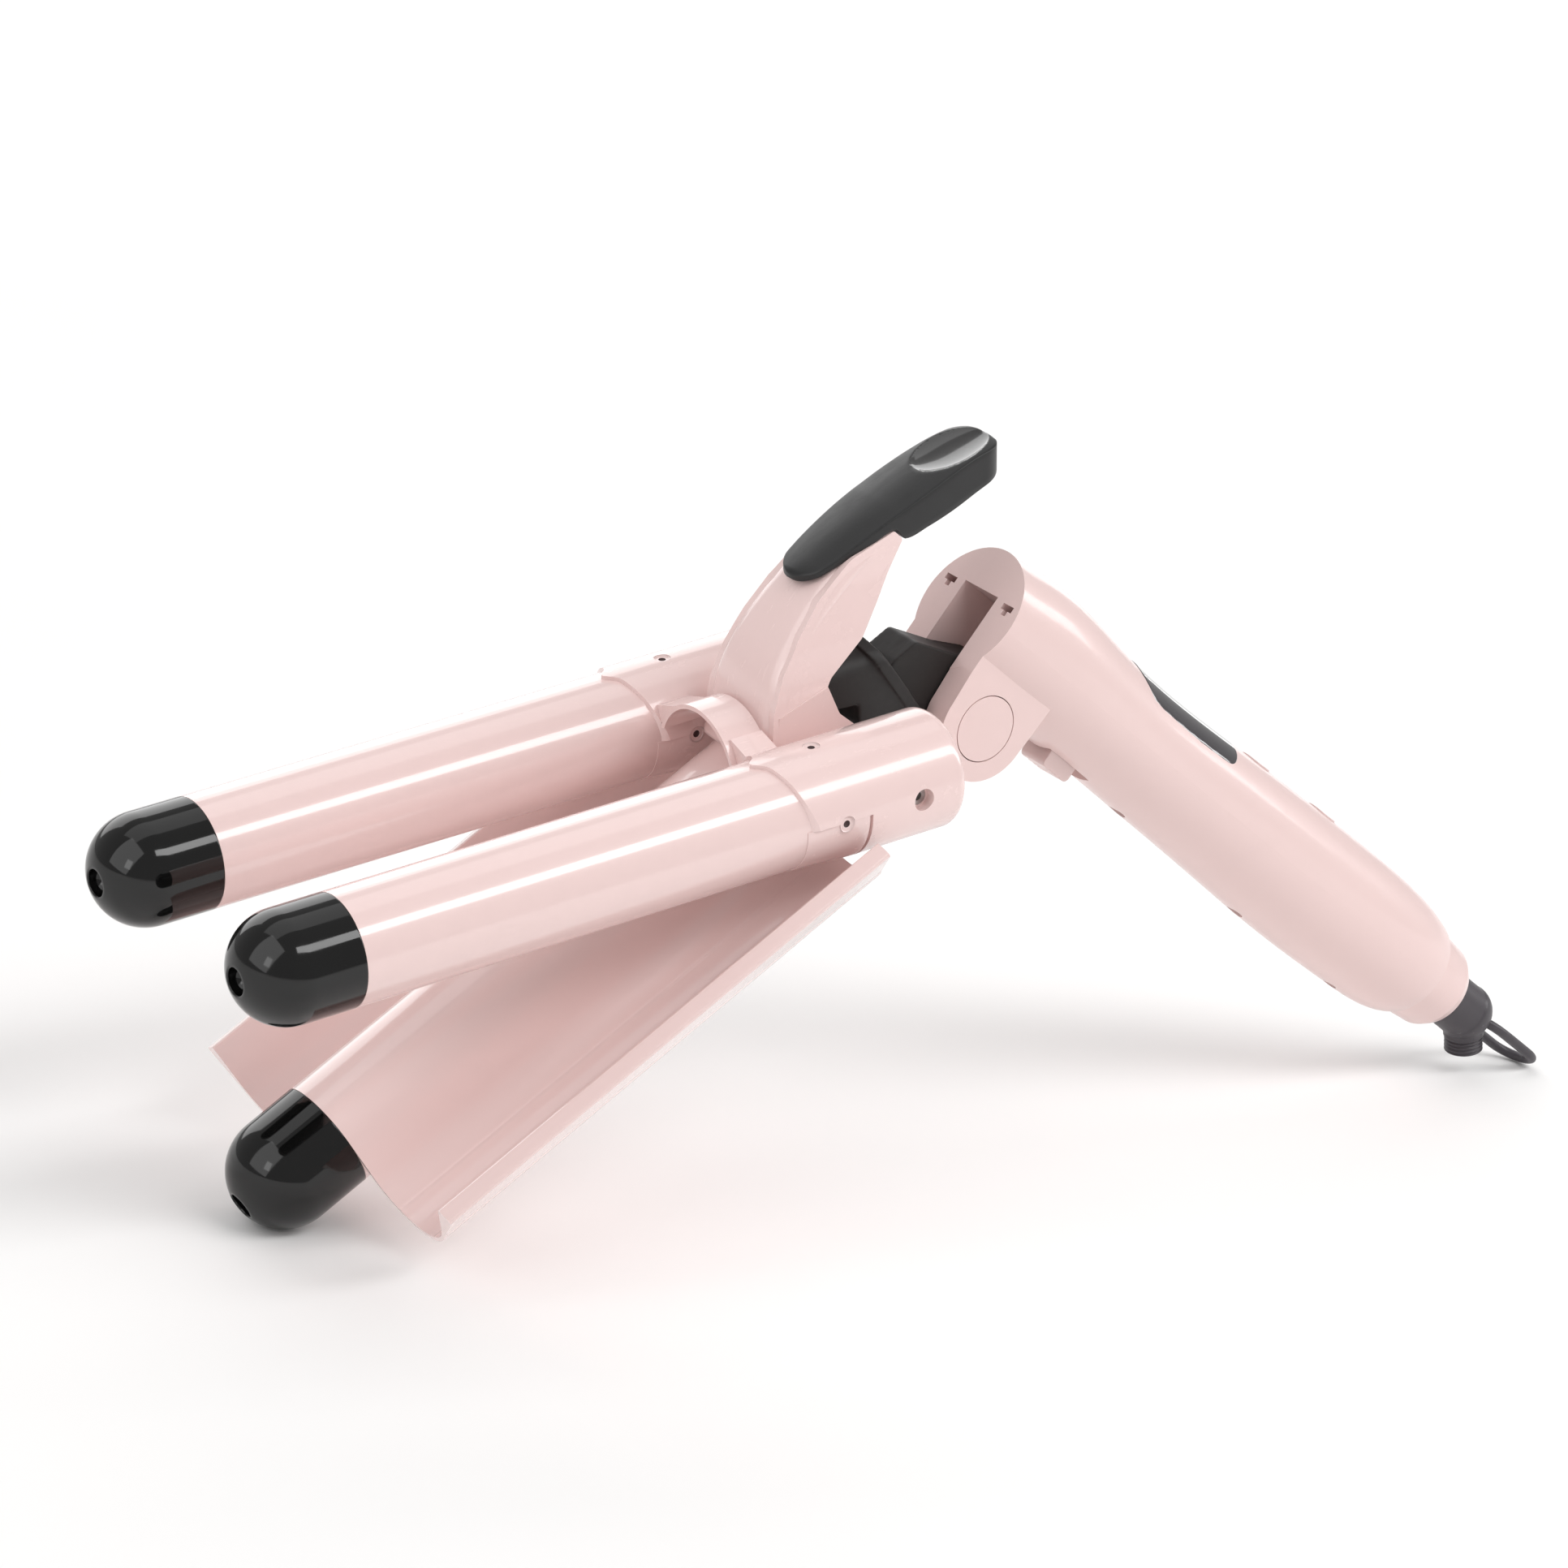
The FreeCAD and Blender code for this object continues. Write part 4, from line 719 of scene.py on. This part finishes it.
def cup(name, place, radius, body, slot, replaces=()):
    """A shallow dished seat with a screw socket in its middle, coloured dark as painted shade in the hole; X
    points out of the surface.
    """
    outline = [(x, radius * share) for x, share in CUP_OUTLINE]
    mesh = lathe(name, outline, place, 48)
    piece = add_piece(name, mesh, body, slot, replaces)
    # the socket's faces take the dark colour: painted shade in the screw hole
    piece.data.materials.append(MATERIALS["socket_painted_shade"])
    outward = (place.to_3x3() @ Vector((1.0, 0.0, 0.0))).normalized()
    middle = place @ Vector((0.0, 0.0, 0.0))
    for polygon in piece.data.polygons:
        away = polygon.center - middle
        away -= outward * away.dot(outward)
        if away.length < radius * SOCKET_SHARE * MM and polygon.normal.dot(outward) > -0.5:
            polygon.material_index = 1


def make_cups():
    for name, side in (("near", -1.0), ("far", 1.0)):
        axis = side * BARREL_PITCH
        quarter = side * math.pi / 2
        seats = (
            ("top", (SCREW_X, axis, SLEEVE_R), Matrix.Rotation(-math.pi / 2, 4, "Y")),
            ("outer", (SCREW_X, axis + side * SLEEVE_R, SEAT_LEVEL), Matrix.Rotation(quarter, 4, "Z")),
            ("inner", (SCREW_X, axis - side * SLEEVE_R, SEAT_LEVEL), Matrix.Rotation(-quarter, 4, "Z")),
        )
        for where, spot, turn in seats:
            replaced = ("sleeve_screws",) if (name, where) == ("near", "top") else ()
            cup("screw_cup_%s_%s" % (name, where), HEAD @ Matrix.Translation(spot) @ turn, CUP_R, "head",
                "housing_pink", replaced)


make_caps()
make_lever()
make_plate()
make_pad()
make_collar()
make_loop()
make_cups()
make_lens()
softened("soft_boot", "hinge_boot", 0.30, 10, "head", "boot_black")
softened("soft_tongue", "hinge_tongue", 0.30, 8, "head", "boot_black")
softened("swivel_body", "cord_swivel", 0.22, 10, "swivel", "swivel_grey")
softened("latch_slider", "fold_lock_slider", 0.16, 6, "fold_lock", "handle_pink")


# ---- camera, floor and lights ----------------------------------------------------------------
CAMERA_PLACE = Vector((-648.0, -1119.3, 642.1))
CAMERA_HEADING = math.radians(54.70)      # from head X towards head Y
CAMERA_TILT = math.radians(-25.43)
CAMERA_ROLL = math.radians(-0.28)
CAMERA_LENS = 159.8
FLOOR_SIZE = 12.0
LIGHT_TARGET = Vector((0.0, 0.0, 0.08))


def make_camera():
    data = bpy.data.cameras.new("camera")
    data.lens = CAMERA_LENS
    data.sensor_width = 36.0
    data.clip_end = 30.0
    camera = bpy.data.objects.new("camera", data)
    bpy.context.scene.collection.objects.link(camera)
    ahead = Vector((math.cos(CAMERA_TILT) * math.cos(CAMERA_HEADING),
                    math.cos(CAMERA_TILT) * math.sin(CAMERA_HEADING), math.sin(CAMERA_TILT)))
    across = Vector((math.sin(CAMERA_HEADING), -math.cos(CAMERA_HEADING), 0.0))
    above = across.cross(ahead)
    turn = Matrix.Rotation(-CAMERA_ROLL, 3, ahead)
    columns = [HEAD.to_3x3().normalized() @ turn @ v for v in (across, above, -ahead)]
    rotation = Matrix(columns).transposed().to_4x4()
    camera.matrix_world = Matrix.Translation(HEAD @ CAMERA_PLACE) @ rotation
    bpy.context.scene.camera = camera


def make_floor():
    bpy.ops.mesh.primitive_plane_add(size=FLOOR_SIZE)
    floor = bpy.context.object
    floor.name = "floor"
    material, tree, shader = new_material("floor_paper")
    tint = spread(tree, noise(tree, 3.0), 0.0, 1.0)
    paper = mix_colour(tree, tint, (0.90, 0.895, 0.89), (0.92, 0.915, 0.91))
    tree.links.new(paper, shader.inputs["Base Color"])
    shader.inputs["Roughness"].default_value = 0.9
    shader.inputs["Specular IOR Level"].default_value = 0.1
    floor.data.materials.append(material)


def softbox(name, direction, distance, wide, tall, radiance, along=(1.0, 0.0, 0.0)):
    """A rectangular light aimed at the tool's middle; radiance doesn't change with its size."""
    data = bpy.data.lights.new(name, "AREA")
    data.shape = "RECTANGLE"
    data.size = wide
    data.size_y = tall
    data.energy = radiance * math.pi * wide * tall
    lamp = bpy.data.objects.new(name, data)
    bpy.context.scene.collection.objects.link(lamp)
    toward = Vector(direction).normalized()
    side = Vector(along) - toward * toward.dot(Vector(along))
    side.normalize()
    up = toward.cross(side)
    rotation = Matrix((side, up, toward)).transposed().to_4x4()
    lamp.matrix_world = Matrix.Translation(LIGHT_TARGET + toward * distance) @ rotation
    lamp.visible_camera = False


def make_lights():
    world = bpy.data.worlds.new("studio")
    bpy.context.scene.world = world
    world.use_nodes = True
    sky = world.node_tree.nodes["Background"]
    sky.inputs["Color"].default_value = (1.0, 0.99, 0.985, 1.0)
    sky.inputs["Strength"].default_value = 0.40
    softbox("key_strip", (0.52, -0.54, 0.66), 1.3, 2.4, 0.32, 5.8)
    softbox("back_panel", (0.35, 0.80, 0.35), 1.9, 3.0, 1.4, 1.7)
    softbox("top_panel", (-0.1, 0.25, 1.0), 1.7, 1.8, 1.0, 0.7)
    softbox("front_fill", (-0.86, -0.10, 0.50), 1.9, 1.9, 1.5, 1.25)
    softbox("front_window", (-0.95, -0.30, 0.30), 1.2, 0.22, 0.30, 2.0, (0.0, 1.0, 0.0))


make_camera()
make_floor()
make_lights()
bpy.context.scene.view_settings.view_transform = "Standard"
